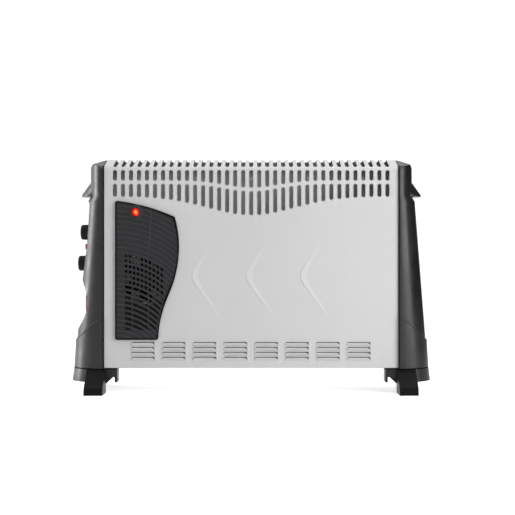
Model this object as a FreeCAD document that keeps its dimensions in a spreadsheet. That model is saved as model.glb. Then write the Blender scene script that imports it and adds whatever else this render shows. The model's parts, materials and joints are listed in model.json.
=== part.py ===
"""Free-standing convector heater: painted steel casing, moulded end caps on feet, controls in the left cap,
a booster fan behind a ribbed grille and two finned heating elements inside.

Frame: millimetres, +X to the right seen from the front, +Y to the back, +Z up.
The origin is on the floor under the middle of the heater.
"""
import FreeCAD, Part
import Sketcher
import math
import os
import re
from types import SimpleNamespace

from FreeCAD import Placement, Rotation, Vector

doc = FreeCAD.newDocument("ConvectorHeater")

# Driving sizes in millimetres, degrees or counts
SIZES = (
    ("overall_width", 595, "over the foot skirts"),
    ("overall_height", 382, "floor to the roof ridge"),
    ("stand_depth", 200, "toe to toe, front to back"),
    ("body_depth", 110, "outside of the steel casing"),
    ("panel_width", 477, "steel casing between the end caps"),
    ("panel_base", 40, "floor to the lower edge of the casing"),
    ("roof_rise", 16, "fold line to ridge"),
    ("sheet", 0.8, "casing steel"),
    ("fold_radius", 8, "bend between front face and roof"),
    ("ridge_radius", 30, "bend along the ridge"),
    ("hem", 14, "return flange along the lower edges"),
    ("rear_lip", 18, "roof sheet turned down over the rear panel"),
    ("vent_count", 35, "columns of vent slots"),
    ("vent_pitch", 13, "column to column"),
    ("vent_width", 6.6, "width of a slot"),
    ("vent_top_gap", 6, "fold line to the upper row"),
    ("vent_upper_length", 17, "upper row at the sides"),
    ("vent_row_gap", 5.2, "between the two rows"),
    ("vent_lower_length", 20.8, "lower row at the sides"),
    ("vent_upper_drop", 11.8, "how far the upper row dips in the middle"),
    ("vent_upper_spread", 61, "half width of that dip"),
    ("vent_lower_drop", 30.3, "how far the lower row dips in the middle"),
    ("vent_lower_spread", 99, "half width of that dip"),
    ("roof_slot_reach", 14, "roof slots past the ridge"),
    ("roof_slot_setback", 2, "roof slots behind the front face"),
    ("louvre_columns", 8, "groups of louvres"),
    ("louvre_rows", 4, "louvres in a group"),
    ("louvre_pitch", 50, "group to group"),
    ("louvre_row_pitch", 8, "louvre to louvre"),
    ("louvre_length", 41, "one louvre"),
    ("louvre_height", 5.6, "foot of the hood to its open edge"),
    ("louvre_depth", 2.4, "hood stands proud"),
    ("louvre_gap", 1.2, "slit above the hood"),
    ("louvre_base", 17.2, "lower edge of the casing to the lowest open edge"),
    ("rib_count", 3, "pressed chevrons on the front"),
    ("rib_pitch", 88.2, "chevron to chevron"),
    ("rib_height", 1.8, "chevrons stand proud at their bend"),
    ("rib_first", -95.6, "middle of the heater to the point of the first chevron"),
    ("rib_point", 194, "floor to the points"),
    ("rib_band", 11.3, "width of the band at the point"),
    ("rib_rise", 44.4, "upper arm, upwards"),
    ("rib_rise_run", 30.3, "upper arm, sideways"),
    ("rib_fall", 84, "lower arm, downwards"),
    ("rib_fall_run", 58, "lower arm, sideways"),
    ("grille_left", 18, "edge of the casing to the grille"),
    ("grille_base", 46, "lower edge of the casing to the grille"),
    ("grille_width", 103.6, "at its widest"),
    ("grille_height", 225.8, "at its left edge"),
    ("grille_thickness", 4.2, "stands proud of the casing"),
    ("grille_rim", 2.4, "raised border"),
    ("grille_recess", 1.1, "field behind the border"),
    ("grille_rib_pitch", 8.4, "curved rib to curved rib"),
    ("grille_rib_width", 1.5, "curved rib"),
    ("grille_bar_pitch", 6.4, "upright bar to upright bar"),
    ("grille_bar_width", 2.6, "upright bar"),
    ("slot_bar_first", 28, "grille edge to the first bar across the long slots"),
    ("slot_bar_second", 54, "grille edge to the second bar across the long slots"),
    ("spine_lean", 6, "lean of the upright rib over the mesh"),
    ("lamp_across", 33.7, "grille edge to the lamp"),
    ("lamp_down", 19, "grille top to the lamp"),
    ("lens_radius", 6.4, "red lens"),
    ("bezel_radius", 9, "lamp bezel"),
    ("cap_depth", 114, "end caps, front to back"),
    ("cap_wall", 2.5, "moulded wall"),
    ("cap_shoulder", 33, "cap past the casing under the grip"),
    ("cap_head", 28, "cap past the casing above the grip"),
    ("cap_toe", 54.5, "cap past the casing at its lower edge"),
    ("cap_seam", 0.5, "cap and feet meet below the casing's lower edge"),
    ("cap_proud", 1, "cap's ridge below the casing's ridge"),
    ("cap_top_radius", 16, "rounded upper corner of the cap"),
    ("cap_top_fall", 13, "roof of the cap falls towards its crest"),
    ("boot_step", 3, "lower part of the cap stands proud"),
    ("boot_crest", 43, "height of the step above the cap's base at its lowest"),
    ("boot_horn", 86, "height of the step above the cap's base at the casing"),
    ("grip_height", 320, "floor to the underside of the grip"),
    ("grip_reach", 15.5, "grip stands proud"),
    ("grip_length", 84, "bow of the grip, front to back"),
    ("grip_rise", 23, "lean of the grip back into the cap"),
    ("skirt_flare", 3, "foot skirt spreads outwards"),
    ("skirt_height", 22.5, "foot skirt"),
    ("toe_width", 30, "one toe"),
    ("toe_heel", 50, "middle of the heater to the heel of a toe"),
    ("front_toe_inset", 2.3, "front toe inside the casing edge"),
    ("rear_toe_offset", 15.5, "rear toe outside the casing edge"),
    ("hook_reach", 18.5, "cord hook past the front toe"),
    ("hook_drop", 23, "cord hook below the casing"),
    ("hook_width", 28, "cord hook, front to back"),
    ("hook_wall", 4.2, "cord hook lip"),
    ("hook_throat", 15, "cord hook, casing to the top of its throat"),
    ("foot_wall", 2.6, "moulded wall of the feet"),
    ("foot_groove", 1.4, "shadow groove between cap and foot"),
    ("control_depth", 11, "control recess below the cap's crest"),
    ("control_half_width", 35, "control recess"),
    ("control_top", 312, "floor to the top of the control recess"),
    ("control_foot", 174, "floor to the foot of the control recess"),
    ("thermostat_height", 261.5, "floor to the thermostat knob"),
    ("mode_height", 210, "floor to the mode knob"),
    ("fan_switch_height", 237.5, "floor to the fan rocker"),
    ("knob_radius", 13.6, "both knobs"),
    ("knob_depth", 17, "both knobs"),
    ("knob_gap", 0.9, "knob above the recess floor"),
    ("spindle_radius", 3, "both spindles"),
    ("thermostat_start", -45, "degrees, pointer at its lowest setting above the rear"),
    ("mode_start", 22.5, "degrees, pointer at its off setting above the rear"),
    ("timer_height", 143.7, "floor to the timer"),
    ("timer_well_radius", 45, "round well for the timer"),
    ("timer_depth", 13, "dial face below the cap's crest"),
    ("dial_radius", 34.4, "timer dial"),
    ("dial_thickness", 7, "timer dial with its segments"),
    ("segment_count", 48, "half-hour segments on the dial"),
    ("fan_radius", 40, "blade tips"),
    ("fan_across", 49, "grille edge to the fan shaft"),
    ("fan_height", 186, "floor to the fan shaft"),
    ("fan_clearance", 3, "blade tip to shroud"),
    ("shaft_radius", 2, "fan motor shaft"),
    ("element_size", 28, "heating element across its fins"),
    ("element_lower", 88, "floor to the lower element"),
    ("element_upper", 122, "floor to the upper element"),
    ("element_back", 23, "rear face to the elements' middle"),
    ("cord_radius", 3.6, "cord hole in the gland"),
    ("cord_height", 72, "floor to the cord gland"),
    ("mesh_top", 141.8, "grille base to the top of its open mesh"),
    ("mesh_split", 91.4, "grille base to the change from mesh to long slots"),
    ("mesh_foot", 16, "grille base to the foot of the slots"),
    ("mesh_margin", 16, "closed left margin of the grille"),
    ("mesh_width", 63, "open field of the grille"),
    ("mesh_land", 4, "closed band along each rib between two rows of holes"),
    ("shroud_depth", 22, "fan ring behind the casing"),
    ("shroud_wall", 1.6, "fan ring"),
    ("hub_radius", 11, "fan hub"),
    ("blade_count", 6, "fan blades"),
    ("blade_pitch", 32, "blade angle"),
    ("motor_size", 42, "fan motor, across"),
    ("motor_depth", 14, "fan motor, stack"),
    ("bracket_width", 16, "motor bracket"),
    ("bracket_sheet", 1.6, "motor bracket"),
    ("plate_sheet", 1, "side plates"),
    ("plate_inset", 3, "side plates inside the casing"),
    ("element_end", 14, "element ends short of the casing edge"),
    ("fin_thickness", 2, "element fin"),
    ("core_radius", 6, "element core"),
    ("switch_size", 28, "thermostat and mode switch bodies"),
    ("switch_depth", 18, "thermostat and mode switch bodies"),
    ("rocker_width", 18, "fan rocker frame, front to back"),
    ("rocker_height", 14, "fan rocker frame"),
    ("rocker_wall", 1.8, "fan rocker frame"),
    ("rocker_rise", 6, "frame above the recess floor"),
    ("timer_size", 56, "timer body"),
    ("timer_body_depth", 22, "timer body"),
    ("timer_neck", 11, "radius the dial turns on"),
    ("timer_disc", 17.6, "fixed middle of the timer"),
    ("slider_width", 5, "override slide"),
    ("slider_height", 3, "override slide"),
    ("slider_travel", 6, "override slide"),
    ("gland_radius", 7, "cord gland neck"),
    ("gland_across", 14, "casing edge to the cord gland"),
    ("post_radius", 4.5, "screw posts inside the caps"),
    ("post_back", 43, "screw posts off the middle"),
    ("post_low", 105, "floor to the lower screw posts"),
    ("post_high", 338, "floor to the upper screw posts"),
    ("foot_screw_back", 28, "foot screws off the middle"),
    ("foot_screw_out", 22, "foot screws past the casing edge"),
    ("head_radius", 3.6, "screw heads"),
    ("head_height", 2, "screw heads"),
    ("bearing_gap", 0.05, "shaft in its bearing"),
    ("running_gap", 0.4, "between parts that turn or slide past each other"),
    ("screw_radius", 1.9, "casing screws"),
)
sheet = doc.addObject("Spreadsheet::Sheet", "Sizes")
for row, (alias, value, note) in enumerate(SIZES, 1):
    sheet.set(f"A{row}", alias)
    sheet.set(f"B{row}", str(value))
    sheet.set(f"C{row}", note)
    sheet.setAlias(f"B{row}", alias)
doc.recompute()
dim = SimpleNamespace(**{alias: float(sheet.get(alias)) for alias, _, _ in SIZES})

# Places that several pieces share
panel_half = dim.panel_width / 2
front = -dim.body_depth / 2
rear = dim.body_depth / 2
roof_angle = math.atan(dim.roof_rise / rear)
ridge = dim.overall_height + dim.ridge_radius * (1 / math.cos(roof_angle) - 1)
fold = ridge - dim.roof_rise
cap_half = dim.cap_depth / 2
cap_base = dim.panel_base - dim.cap_seam
shoulder_z = dim.grip_height - 8
grille_x = -panel_half + dim.grille_left
grille_z = dim.panel_base + dim.grille_base
lamp_x = grille_x + dim.lamp_across
lamp_z = grille_z + dim.grille_height - dim.lamp_down
fan_x = grille_x + dim.fan_across

SUBPARTS = []
WORDS = re.compile(r"\b(" + "|".join(alias for alias, _, _ in SIZES) + r")\b")
TURNS = {
    "x": Rotation(Vector(0, 1, 0), 90),
    "-x": Rotation(Vector(0, 1, 0), -90),
    "y": Rotation(Vector(1, 0, 0), -90),
    "-y": Rotation(Vector(1, 0, 0), 90),
    "z": Rotation(),
}


def bind(thing, rules):
    """Tie properties of an object to expressions written in the sheet's words."""
    for name, text in rules.items():
        thing.setExpression(name, WORDS.sub(r"Sizes.\1", text))


def subpart(thing, label):
    thing.Label = label
    SUBPARTS.append(thing)
    return thing


def solid(label, shape):
    """A sub-part whose outline is drawn directly."""
    thing = doc.addObject("Part::Feature", label)
    thing.Shape = shape
    thing.Placement = Placement()
    return subpart(thing, label)


def block(corner, span):
    thing = doc.addObject("Part::Box", "Block")
    bind(thing, dict(zip(("Length", "Width", "Height"), span)))
    bind(thing, dict(zip(("Placement.Base.x", "Placement.Base.y", "Placement.Base.z"), corner)))
    return thing


def rod(start, axis, radius, length):
    thing = doc.addObject("Part::Cylinder", "Rod")
    thing.Placement = Placement(Vector(), TURNS[axis])
    bind(thing, {"Radius": radius, "Height": length})
    bind(thing, dict(zip(("Placement.Base.x", "Placement.Base.y", "Placement.Base.z"), start)))
    return thing


def joined(*pieces):
    thing = doc.addObject("Part::MultiFuse", "Joined")
    thing.Shapes = list(pieces)
    return thing


def less(base, *tools):
    thing = doc.addObject("Part::Cut", "Less")
    thing.Base = base
    thing.Tool = joined(*tools) if len(tools) > 1 else tools[0]
    return thing


def grouped(*pieces):
    thing = doc.addObject("Part::Compound", "Group")
    thing.Links = list(pieces)
    return thing


def outline(body, plane, points):
    """A closed sketch of straight lines; each corner is tied to two expressions."""
    sketch = body.newObject("Sketcher::SketchObject", "Outline")
    support = [item for item in body.Origin.OriginFeatures if item.Role == plane]
    sketch.AttachmentSupport = [(support[0], "")]
    sketch.MapMode = "FlatFace"
    count = len(points)
    for i in range(count):
        angle = 2 * math.pi * i / count
        after = 2 * math.pi * (i + 1) / count
        here = Vector(math.cos(angle), math.sin(angle), 0)
        there = Vector(math.cos(after), math.sin(after), 0)
        sketch.addGeometry(Part.LineSegment(here, there), False)
    for i in range(count):
        sketch.addConstraint(Sketcher.Constraint("Coincident", i, 2, (i + 1) % count, 1))
    for i, corner in enumerate(points):
        for kind, text in zip(("DistanceX", "DistanceY"), corner):
            number = sketch.addConstraint(Sketcher.Constraint(kind, -1, 1, i, 1, 1.0))
            bind(sketch, {f"Constraints[{number}]": text})
    return sketch


def rounded(corners, radii):
    """A closed wire through the corners, each corner rounded by its radius."""
    count = len(corners)
    bends = []
    for i, (here, radius) in enumerate(zip(corners, radii)):
        back = (corners[i - 1] - here).normalize()
        ahead = (corners[(i + 1) % count] - here).normalize()
        half = back.getAngle(ahead) / 2
        reach = radius / math.tan(half)
        middle = (back + ahead).normalize() * (radius / math.sin(half) - radius)
        bends.append((here + back * reach, here + middle, here + ahead * reach))
    edges = []
    for i, (start, middle, stop) in enumerate(bends):
        if radii[i] > 0:
            edges.append(Part.Arc(start, middle, stop).toShape())
        following = bends[(i + 1) % count][0]
        if stop.distanceToPoint(following) > 1e-6:
            edges.append(Part.LineSegment(stop, following).toShape())
    return Part.Wire(edges)


def prism(wire, along):
    return Part.Face(wire).extrude(along)


def box_at(x0, x1, y0, y1, z0, z1):
    return Part.makeBox(x1 - x0, y1 - y0, z1 - z0, Vector(x0, y0, z0))


def section(inset, length):
    """The casing's cross-section, drawn in by a distance, as a bar of a given length."""
    corners = [
        Vector(-length / 2, front, dim.panel_base),
        Vector(-length / 2, front, fold),
        Vector(-length / 2, 0, ridge),
        Vector(-length / 2, rear, fold),
        Vector(-length / 2, rear, dim.panel_base),
    ]
    bends = [2 * dim.sheet, dim.fold_radius, dim.ridge_radius, dim.fold_radius, 2 * dim.sheet]
    face = Part.Face(rounded(corners, bends))
    if inset:
        face = face.makeOffset2D(-inset)
    return face.extrude(Vector(length, 0, 0))


def upright_slot(x, low, high, width):
    """A round-ended slot through the front face."""
    half = width / 2
    corners = [
        Vector(x - half, front - 9, low),
        Vector(x + half, front - 9, low),
        Vector(x + half, front - 9, high),
        Vector(x - half, front - 9, high),
    ]
    return prism(rounded(corners, [half * 0.999] * 4), Vector(0, 20, 0))


def roof_slot(x, width):
    half = width / 2
    start = front + dim.roof_slot_setback
    corners = [
        Vector(x - half, start, fold - 8),
        Vector(x + half, start, fold - 8),
        Vector(x + half, dim.roof_slot_reach, fold - 8),
        Vector(x - half, dim.roof_slot_reach, fold - 8),
    ]
    return prism(rounded(corners, [half * 0.999] * 4), Vector(0, 0, 60))


def louvre(face_y, outwards):
    """Hood and cavity of one louvre, its open edge up, around x = 0 with its foot at z = 0."""
    wall = dim.sheet * 0.8
    tall = dim.louvre_height
    half = dim.louvre_length / 2
    hood = Part.makeWedge(
        -half + 3, -dim.louvre_depth, tall - 0.8, 0, -half,
        half - 3, 0, tall, tall, half,
    )
    hollow = Part.makeWedge(
        -half + 3 + wall, -dim.louvre_depth + wall, tall - 0.4, wall, -half + wall,
        half - 3 - wall, dim.sheet + 1, tall + dim.louvre_gap, tall + dim.louvre_gap, half - wall,
    )
    pair = []
    for shape in (hood, hollow):
        if outwards > 0:
            shape.rotate(Vector(), Vector(0, 0, 1), 180)
        shape.translate(Vector(0, face_y, 0))
        pair.append(shape)
    return pair


def louvre_field(face_y, outwards):
    hood, hollow = louvre(face_y, outwards)
    hoods = []
    hollows = []
    columns = int(dim.louvre_columns)
    for column in range(columns):
        x = (column - (columns - 1) / 2) * dim.louvre_pitch
        for row in range(int(dim.louvre_rows)):
            z = dim.panel_base + dim.louvre_base + row * dim.louvre_row_pitch - dim.louvre_height
            hoods.append(hood.translated(Vector(x, 0, z)))
            hollows.append(hollow.translated(Vector(x, 0, z)))
    return hoods, hollows


def vent_columns():
    count = int(dim.vent_count)
    return [(i - (count - 1) / 2) * dim.vent_pitch for i in range(count)]


def chevron(x):
    """Outline of one pressed chevron, on the sheet; the tips run out thin."""
    point_z = dim.rib_point
    y = front + dim.sheet / 2
    top = Vector(x + dim.rib_rise_run, y, point_z + dim.rib_rise)
    low = Vector(x + dim.rib_fall_run, y, point_z - dim.rib_fall)
    outer = Vector(x - 10, y, point_z + 2)
    inner = Vector(x + dim.rib_band - 7.8, y, point_z - 2)
    side = Vector(0.4, 0, 0)
    corners = [top - side, outer, low - side, low + side, inner, top + side]
    return rounded(corners, [0, 34, 0, 0, 26, 0])


def chevrons():
    """Each chevron leans from a crest behind its bend, down to its tips and its inner edge."""
    shapes = []
    for i in range(int(dim.rib_count)):
        wire = chevron(dim.rib_first + i * dim.rib_pitch)
        crest = Vector(wire.BoundBox.XMin + 1.5, front - dim.rib_height, dim.rib_point)
        shapes.append(Part.makeLoft([wire, Part.Vertex(crest)], True, True))
    return shapes


def panel_screw_holes():
    clear = dim.screw_radius + dim.running_gap
    into = Vector(0, 1, 0)
    return [Part.makeCylinder(clear, 12, place - into * 6, into) for place in panel_screw_places()]


def front_panel():
    sheet_tube = section(0, dim.panel_width).cut(section(dim.sheet, dim.panel_width + 2))
    wide = dim.panel_width
    shape = sheet_tube.cut(box_at(-wide, wide, rear - 4, rear + 4, 0, fold - dim.rear_lip))
    shape = shape.cut(box_at(-wide, wide, front + dim.hem, rear + 4, 0, dim.panel_base + 6))
    hoods, hollows = louvre_field(front, -1)
    shape = shape.fuse(hoods + chevrons())
    slots = []
    for x in vent_columns():
        top = fold - dim.vent_top_gap
        dip = dim.vent_upper_drop * math.exp(-((x / dim.vent_upper_spread) ** 2))
        middle = top - dim.vent_upper_length - dip
        fall = dim.vent_lower_drop * math.exp(-((x / dim.vent_lower_spread) ** 2))
        low = top - dim.vent_upper_length - dim.vent_row_gap - dim.vent_lower_length - fall
        slots.append(upright_slot(x, middle, top, dim.vent_width))
        slots.append(upright_slot(x, low, middle - dim.vent_row_gap, dim.vent_width))
        slots.append(roof_slot(x, dim.vent_width))
    opening = grille_zone(dim.grille_rim + 2, 40)
    lamp_hole = Part.makeCylinder(
        dim.bezel_radius - 1, 20, Vector(lamp_x, front - 9, lamp_z), Vector(0, 1, 0)
    )
    shape = shape.cut(slots + hollows + [opening, lamp_hole] + panel_screw_holes())
    return solid("front_panel", shape)


def rear_panel():
    inner = section(dim.sheet, dim.panel_width).cut(section(2 * dim.sheet, dim.panel_width + 2))
    wide = dim.panel_width
    shape = inner.cut(box_at(-wide, wide, -200, rear - dim.hem, 0, 500))
    shape = shape.cut(box_at(-wide, wide, -200, 200, fold - dim.fold_radius, 500))
    hoods, hollows = louvre_field(rear - dim.sheet, 1)
    shape = shape.fuse(hoods).cut(hollows + panel_screw_holes())
    return solid("rear_panel", shape)



def cap_reach(z):
    """How far the cap's crest stands past the casing at a height below the grip."""
    share = (shoulder_z - z) / (shoulder_z - cap_base)
    return dim.cap_shoulder + (dim.cap_toe - dim.cap_shoulder) * share


def bow(z, reach, half, inwards=0):
    """Half an ellipse in plan, on the left, closed along the casing's edge."""
    centre = Vector(-panel_half, 0, z)
    tip = centre - Vector(reach, 0, 0)
    rear_end = centre + Vector(0, half, 0)
    if reach > half:
        arc = Part.ArcOfEllipse(Part.Ellipse(tip, rear_end, centre), -math.pi / 2, math.pi / 2)
    else:
        arc = Part.ArcOfEllipse(Part.Ellipse(rear_end, tip, centre), 0, math.pi)
    edge = arc.toShape()
    first = edge.valueAt(edge.FirstParameter)
    last = edge.valueAt(edge.LastParameter)
    step = Vector(inwards, 0, 0)
    path = [last, last + step, first + step, first] if inwards else [last, first]
    lines = [Part.LineSegment(a, b).toShape() for a, b in zip(path, path[1:])]
    return Part.Wire([edge] + lines)


def cap_mass(inset):
    """The cap as a solid lump, drawn in by the wall when it is the hollow."""
    floor = cap_base + inset
    inwards = 2 if inset else 0
    half = cap_half - inset
    levels = [
        (floor, cap_reach(floor) - inset),
        (shoulder_z, dim.cap_shoulder - inset),
        (dim.grip_height, dim.cap_head - inset),
        (ridge + 10, dim.cap_head - inset),
    ]
    bowed = Part.makeLoft([bow(z, reach, half, inwards) for z, reach in levels], True, True)
    top = ridge - dim.cap_proud - inset
    eaves = fold - inset
    side = rounded(
        [
            Vector(-400, -half, floor),
            Vector(-400, -half, eaves),
            Vector(-400, 0, top),
            Vector(-400, half, eaves),
            Vector(-400, half, floor),
        ],
        [0, dim.fold_radius + 1 - inset, dim.ridge_radius, dim.fold_radius + 1 - inset, 0],
    )
    crest = -panel_half - dim.cap_head + inset
    crown = dim.overall_height - dim.cap_proud - inset
    silhouette = rounded(
        [
            Vector(10, -200, floor - 1),
            Vector(10, -200, crown),
            Vector(-panel_half - 4, -200, crown),
            Vector(crest, -200, crown - dim.cap_top_fall),
            Vector(crest, -200, dim.grip_height),
            Vector(-400, -200, dim.grip_height),
            Vector(-400, -200, floor - 1),
        ],
        [0, 0, 0, dim.cap_top_radius - inset, 0, 0, 0],
    )
    bowed = bowed.common(prism(side, Vector(400, 0, 0)))
    return bowed.common(prism(silhouette, Vector(0, 400, 0)))


def boot():
    """The lower part of the cap, standing proud under a smile-shaped step."""
    high = cap_base + dim.boot_horn + 20
    half = cap_half + dim.boot_step / 2
    lump = Part.makeLoft(
        [
            bow(cap_base, dim.cap_toe + dim.boot_step / 2, half),
            bow(high, cap_reach(high) + dim.boot_step, half),
        ],
        True,
        True,
    )
    horn = cap_base + dim.boot_horn
    step = Part.Arc(
        Vector(-400, half, horn), Vector(-400, 0, cap_base + dim.boot_crest), Vector(-400, -half, horn)
    ).toShape()
    path = [Vector(-400, -half, horn), Vector(-400, -half, 0), Vector(-400, half, 0), Vector(-400, half, horn)]
    lines = [Part.LineSegment(a, b).toShape() for a, b in zip(path, path[1:])]
    return lump.common(prism(Part.Wire([step] + lines), Vector(400, 0, 0)))


def grip():
    """A bowed lip that leans back into the cap above the fingers."""
    foot = Part.Face(bow(dim.grip_height, dim.cap_head + dim.grip_reach, dim.grip_length / 2))
    lean = Vector(dim.grip_reach + 1, 0, dim.grip_rise)
    upright = foot.extrude(Vector(0, 0, 3))
    foot.translate(Vector(0, 0, 3))
    hood = upright.fuse(foot.extrude(lean)).removeSplitter()
    return hood.common(box_at(-400, -panel_half - 6, -100, 100, dim.grip_height, dim.grip_height + 40))


def control_floor(z):
    return -panel_half - cap_reach(z) + dim.control_depth


def control_recess(grow):
    """The sunk control field of the left cap; grown by the wall for the moulding's back."""
    wide = dim.control_half_width + grow
    top = dim.control_top + grow
    foot = dim.control_foot - grow
    field = rounded(
        [
            Vector(-400, -wide, top),
            Vector(-400, wide, top),
            Vector(-400, wide, foot + 64),
            Vector(-400, wide * 0.6, foot),
            Vector(-400, -wide * 0.6, foot),
            Vector(-400, -wide, foot + 64),
        ],
        [8, 8, 30, 10, 10, 30],
    )
    corners = [
        Vector(-400, -100, cap_base),
        Vector(control_floor(cap_base) + grow, -100, cap_base),
        Vector(control_floor(shoulder_z + 20) + grow, -100, shoulder_z + 20),
        Vector(-400, -100, shoulder_z + 20),
    ]
    wedge = prism(Part.makePolygon(corners + corners[:1]), Vector(0, 200, 0))
    return prism(field, Vector(200, 0, 0)).common(wedge)


rocker_floor = control_floor(dim.fan_switch_height)
rocker_x = rocker_floor - dim.rocker_rise + 2.5
timer_crest = -panel_half - cap_reach(dim.timer_height)
dial_face = timer_crest + dim.timer_depth
timer_floor = dial_face + dim.dial_thickness + 2 * dim.running_gap


def timer_well(grow):
    return Part.makeCylinder(
        dim.timer_well_radius + grow,
        timer_floor + grow + 400,
        Vector(-400, 0, dim.timer_height),
        Vector(1, 0, 0),
    )


def across(x0, x1, y, z, radius):
    return Part.makeCylinder(radius, x1 - x0, Vector(x0, y, z), Vector(1, 0, 0))


def gland_place():
    """Where the cord gland stands on the rear of the left cap's boot."""
    x = -panel_half - dim.gland_across
    half = cap_half + dim.boot_step / 2
    reach = cap_reach(dim.cord_height) + dim.boot_step
    y = half * math.sqrt(1 - (dim.gland_across / reach) ** 2)
    return Vector(x, y, dim.cord_height)


def post_places():
    places = []
    for y in (-dim.post_back, dim.post_back):
        for z in (dim.post_low, dim.post_high):
            places.append((y, z))
    return places


def foot_screw_places():
    """Undersides of the foot's top plate, where the heads of the left foot's screws sit."""
    x = -panel_half - dim.foot_screw_out
    z = cap_base - dim.foot_wall
    return [Vector(x, y, z) for y in (-dim.foot_screw_back, dim.foot_screw_back)]


def panel_screw_places():
    z = fold - dim.rear_lip / 2 - 4
    return [Vector(share * dim.panel_width, rear, z) for share in (-0.4, -0.2, 0, 0.2, 0.4)]


def cap_shape(left):
    lump = cap_mass(0).fuse(grip()).fuse(boot())
    hollow = cap_mass(dim.cap_wall)
    if left:
        lump = lump.cut(control_recess(0).fuse(timer_well(0)))
        hollow = hollow.cut(control_recess(dim.cap_wall).fuse(timer_well(dim.cap_wall)))
    shape = lump.cut(hollow)
    posts = [across(-400, -panel_half, y, z, dim.post_radius).common(lump) for y, z in post_places()]
    shape = shape.fuse(posts)
    tapped = dim.screw_radius + dim.bearing_gap
    holes = [across(-panel_half - 14, -panel_half + 1, y, z, tapped) for y, z in post_places()]
    for place in foot_screw_places():
        holes.append(Part.makeCylinder(tapped, 10, place))
    if left:
        for height in (dim.thermostat_height, dim.mode_height):
            edge = control_floor(height)
            holes.append(across(edge - 6, edge + 6, 0, height, dim.spindle_radius + 2 * dim.running_gap))
        holes.append(across(timer_floor - 1, timer_floor + 6, 0, dim.timer_height,
                            dim.timer_neck + 2 * dim.running_gap))
        gland = gland_place()
        holes.append(Part.makeCylinder(dim.gland_radius + dim.running_gap, 40,
                                       gland - Vector(0, 12, 0), Vector(0, 1, 0)))
        grow = dim.running_gap
        half_y = dim.rocker_width / 2 + grow
        half_z = dim.rocker_height / 2 + grow
        holes.append(box_at(rocker_floor - 9, rocker_floor + 9, -half_y, half_y,
                            dim.fan_switch_height - half_z, dim.fan_switch_height + half_z))
    return shape.cut(holes).removeSplitter()


def end_caps():
    left = cap_shape(True)
    right = cap_shape(False).mirror(Vector(), Vector(1, 0, 0))
    solid("left_end_cap", left)
    solid("right_end_cap", right)


def toe_wire(x, inset, floor):
    """Side view of the front toe in the plane at x."""
    tip = -dim.stand_depth / 2
    heel = -dim.toe_heel
    top = cap_base if not inset else cap_base - dim.foot_wall
    corners = [
        Vector(x, -cap_half + 1 + inset, top),
        Vector(x, tip + 34 + inset, 34.2 - inset),
        Vector(x, tip + 6 + inset, 13 - inset),
        Vector(x, tip + inset, floor),
        Vector(x, heel - inset, floor),
        Vector(x, heel - inset, top),
    ]
    return rounded(corners, [0, 10, 14 - inset, 0, 0, 0])


def toe(outer_x):
    width = Vector(dim.toe_width, 0, 0)
    wall = dim.foot_wall
    lump = prism(toe_wire(outer_x, 0, 0), width)
    hollow = prism(toe_wire(outer_x + wall, wall, -1), width - Vector(2 * wall, 0, 0))
    return lump, hollow


def hook():
    inner = -panel_half + dim.front_toe_inset
    tip = inner + dim.hook_reach
    low = cap_base - dim.hook_drop
    lip = dim.hook_wall
    arm = cap_base - dim.hook_throat
    rear_edge = -dim.toe_heel - 2
    corners = [
        Vector(inner - 1, rear_edge, cap_base),
        Vector(tip, rear_edge, cap_base),
        Vector(tip, rear_edge, low),
        Vector(tip - lip, rear_edge, low),
        Vector(tip - lip, rear_edge, arm),
        Vector(tip - lip - 2, rear_edge, arm + 1),
        Vector(inner - 1, rear_edge, low - 3),
    ]
    return prism(rounded(corners, [0, 1.5, 1, 1, 1, 1.4, 0]), Vector(0, dim.hook_width, 0))


def foot_shape():
    skirt_base = cap_base - dim.skirt_height
    half = cap_half + dim.boot_step / 2
    flare = dim.overall_width / 2 - panel_half
    top_reach = dim.cap_toe + dim.boot_step / 2
    wall = dim.foot_wall
    groove = dim.foot_groove
    lump = Part.makeLoft(
        [bow(skirt_base, flare, half), bow(cap_base - groove, top_reach, half)], True, True
    )
    neck = Part.Face(bow(cap_base - 2 * groove, top_reach - groove, half - groove))
    lump = lump.fuse(neck.extrude(Vector(0, 0, 2 * groove)))
    hollow = Part.makeLoft(
        [
            bow(skirt_base - 1, flare - wall, half - wall),
            bow(cap_base - wall, top_reach - wall, half - wall),
        ],
        True,
        True,
    )
    shell = lump.cut(hollow.common(box_at(-400, -panel_half - wall, -200, 200, -10, cap_base)))
    front_lump, front_hollow = toe(-panel_half + dim.front_toe_inset - dim.toe_width)
    rear_lump, rear_hollow = toe(-panel_half - dim.rear_toe_offset - dim.toe_width)
    flip = Vector(0, 1, 0)
    rear_lump = rear_lump.mirror(Vector(), flip)
    rear_hollow = rear_hollow.mirror(Vector(), flip)
    shape = shell.fuse([front_lump, rear_lump, hook()])
    clear = dim.screw_radius + dim.running_gap
    holes = [Part.makeCylinder(clear, 12, place - Vector(0, 0, 6)) for place in foot_screw_places()]
    return shape.cut([front_hollow, rear_hollow] + holes).removeSplitter()


def feet():
    left = foot_shape()
    solid("left_foot", left)
    solid("right_foot", left.mirror(Vector(), Vector(1, 0, 0)))



def grille_face(y):
    """Outline of the fan grille: straight left and lower edges, bowed top, swung right edge."""

    def at(across, up):
        return Vector(grille_x + dim.grille_width * across, y, grille_z + dim.grille_height * up)

    swing = Part.BSplineCurve()
    swing.interpolate(
        [at(0.676, 0), at(0.7, 0.12), at(0.765, 0.235), at(0.9, 0.396), at(0.985, 0.56), at(1, 0.692), at(0.93, 0.884)]
    )
    edges = [
        Part.LineSegment(at(0, 0), at(0.676, 0)),
        swing,
        Part.Arc(at(0.93, 0.884), at(0.534, 0.951), at(0, 1)),
        Part.LineSegment(at(0, 1), at(0, 0)),
    ]
    return Part.Face(Part.Wire([edge.toShape() for edge in edges]))


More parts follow.
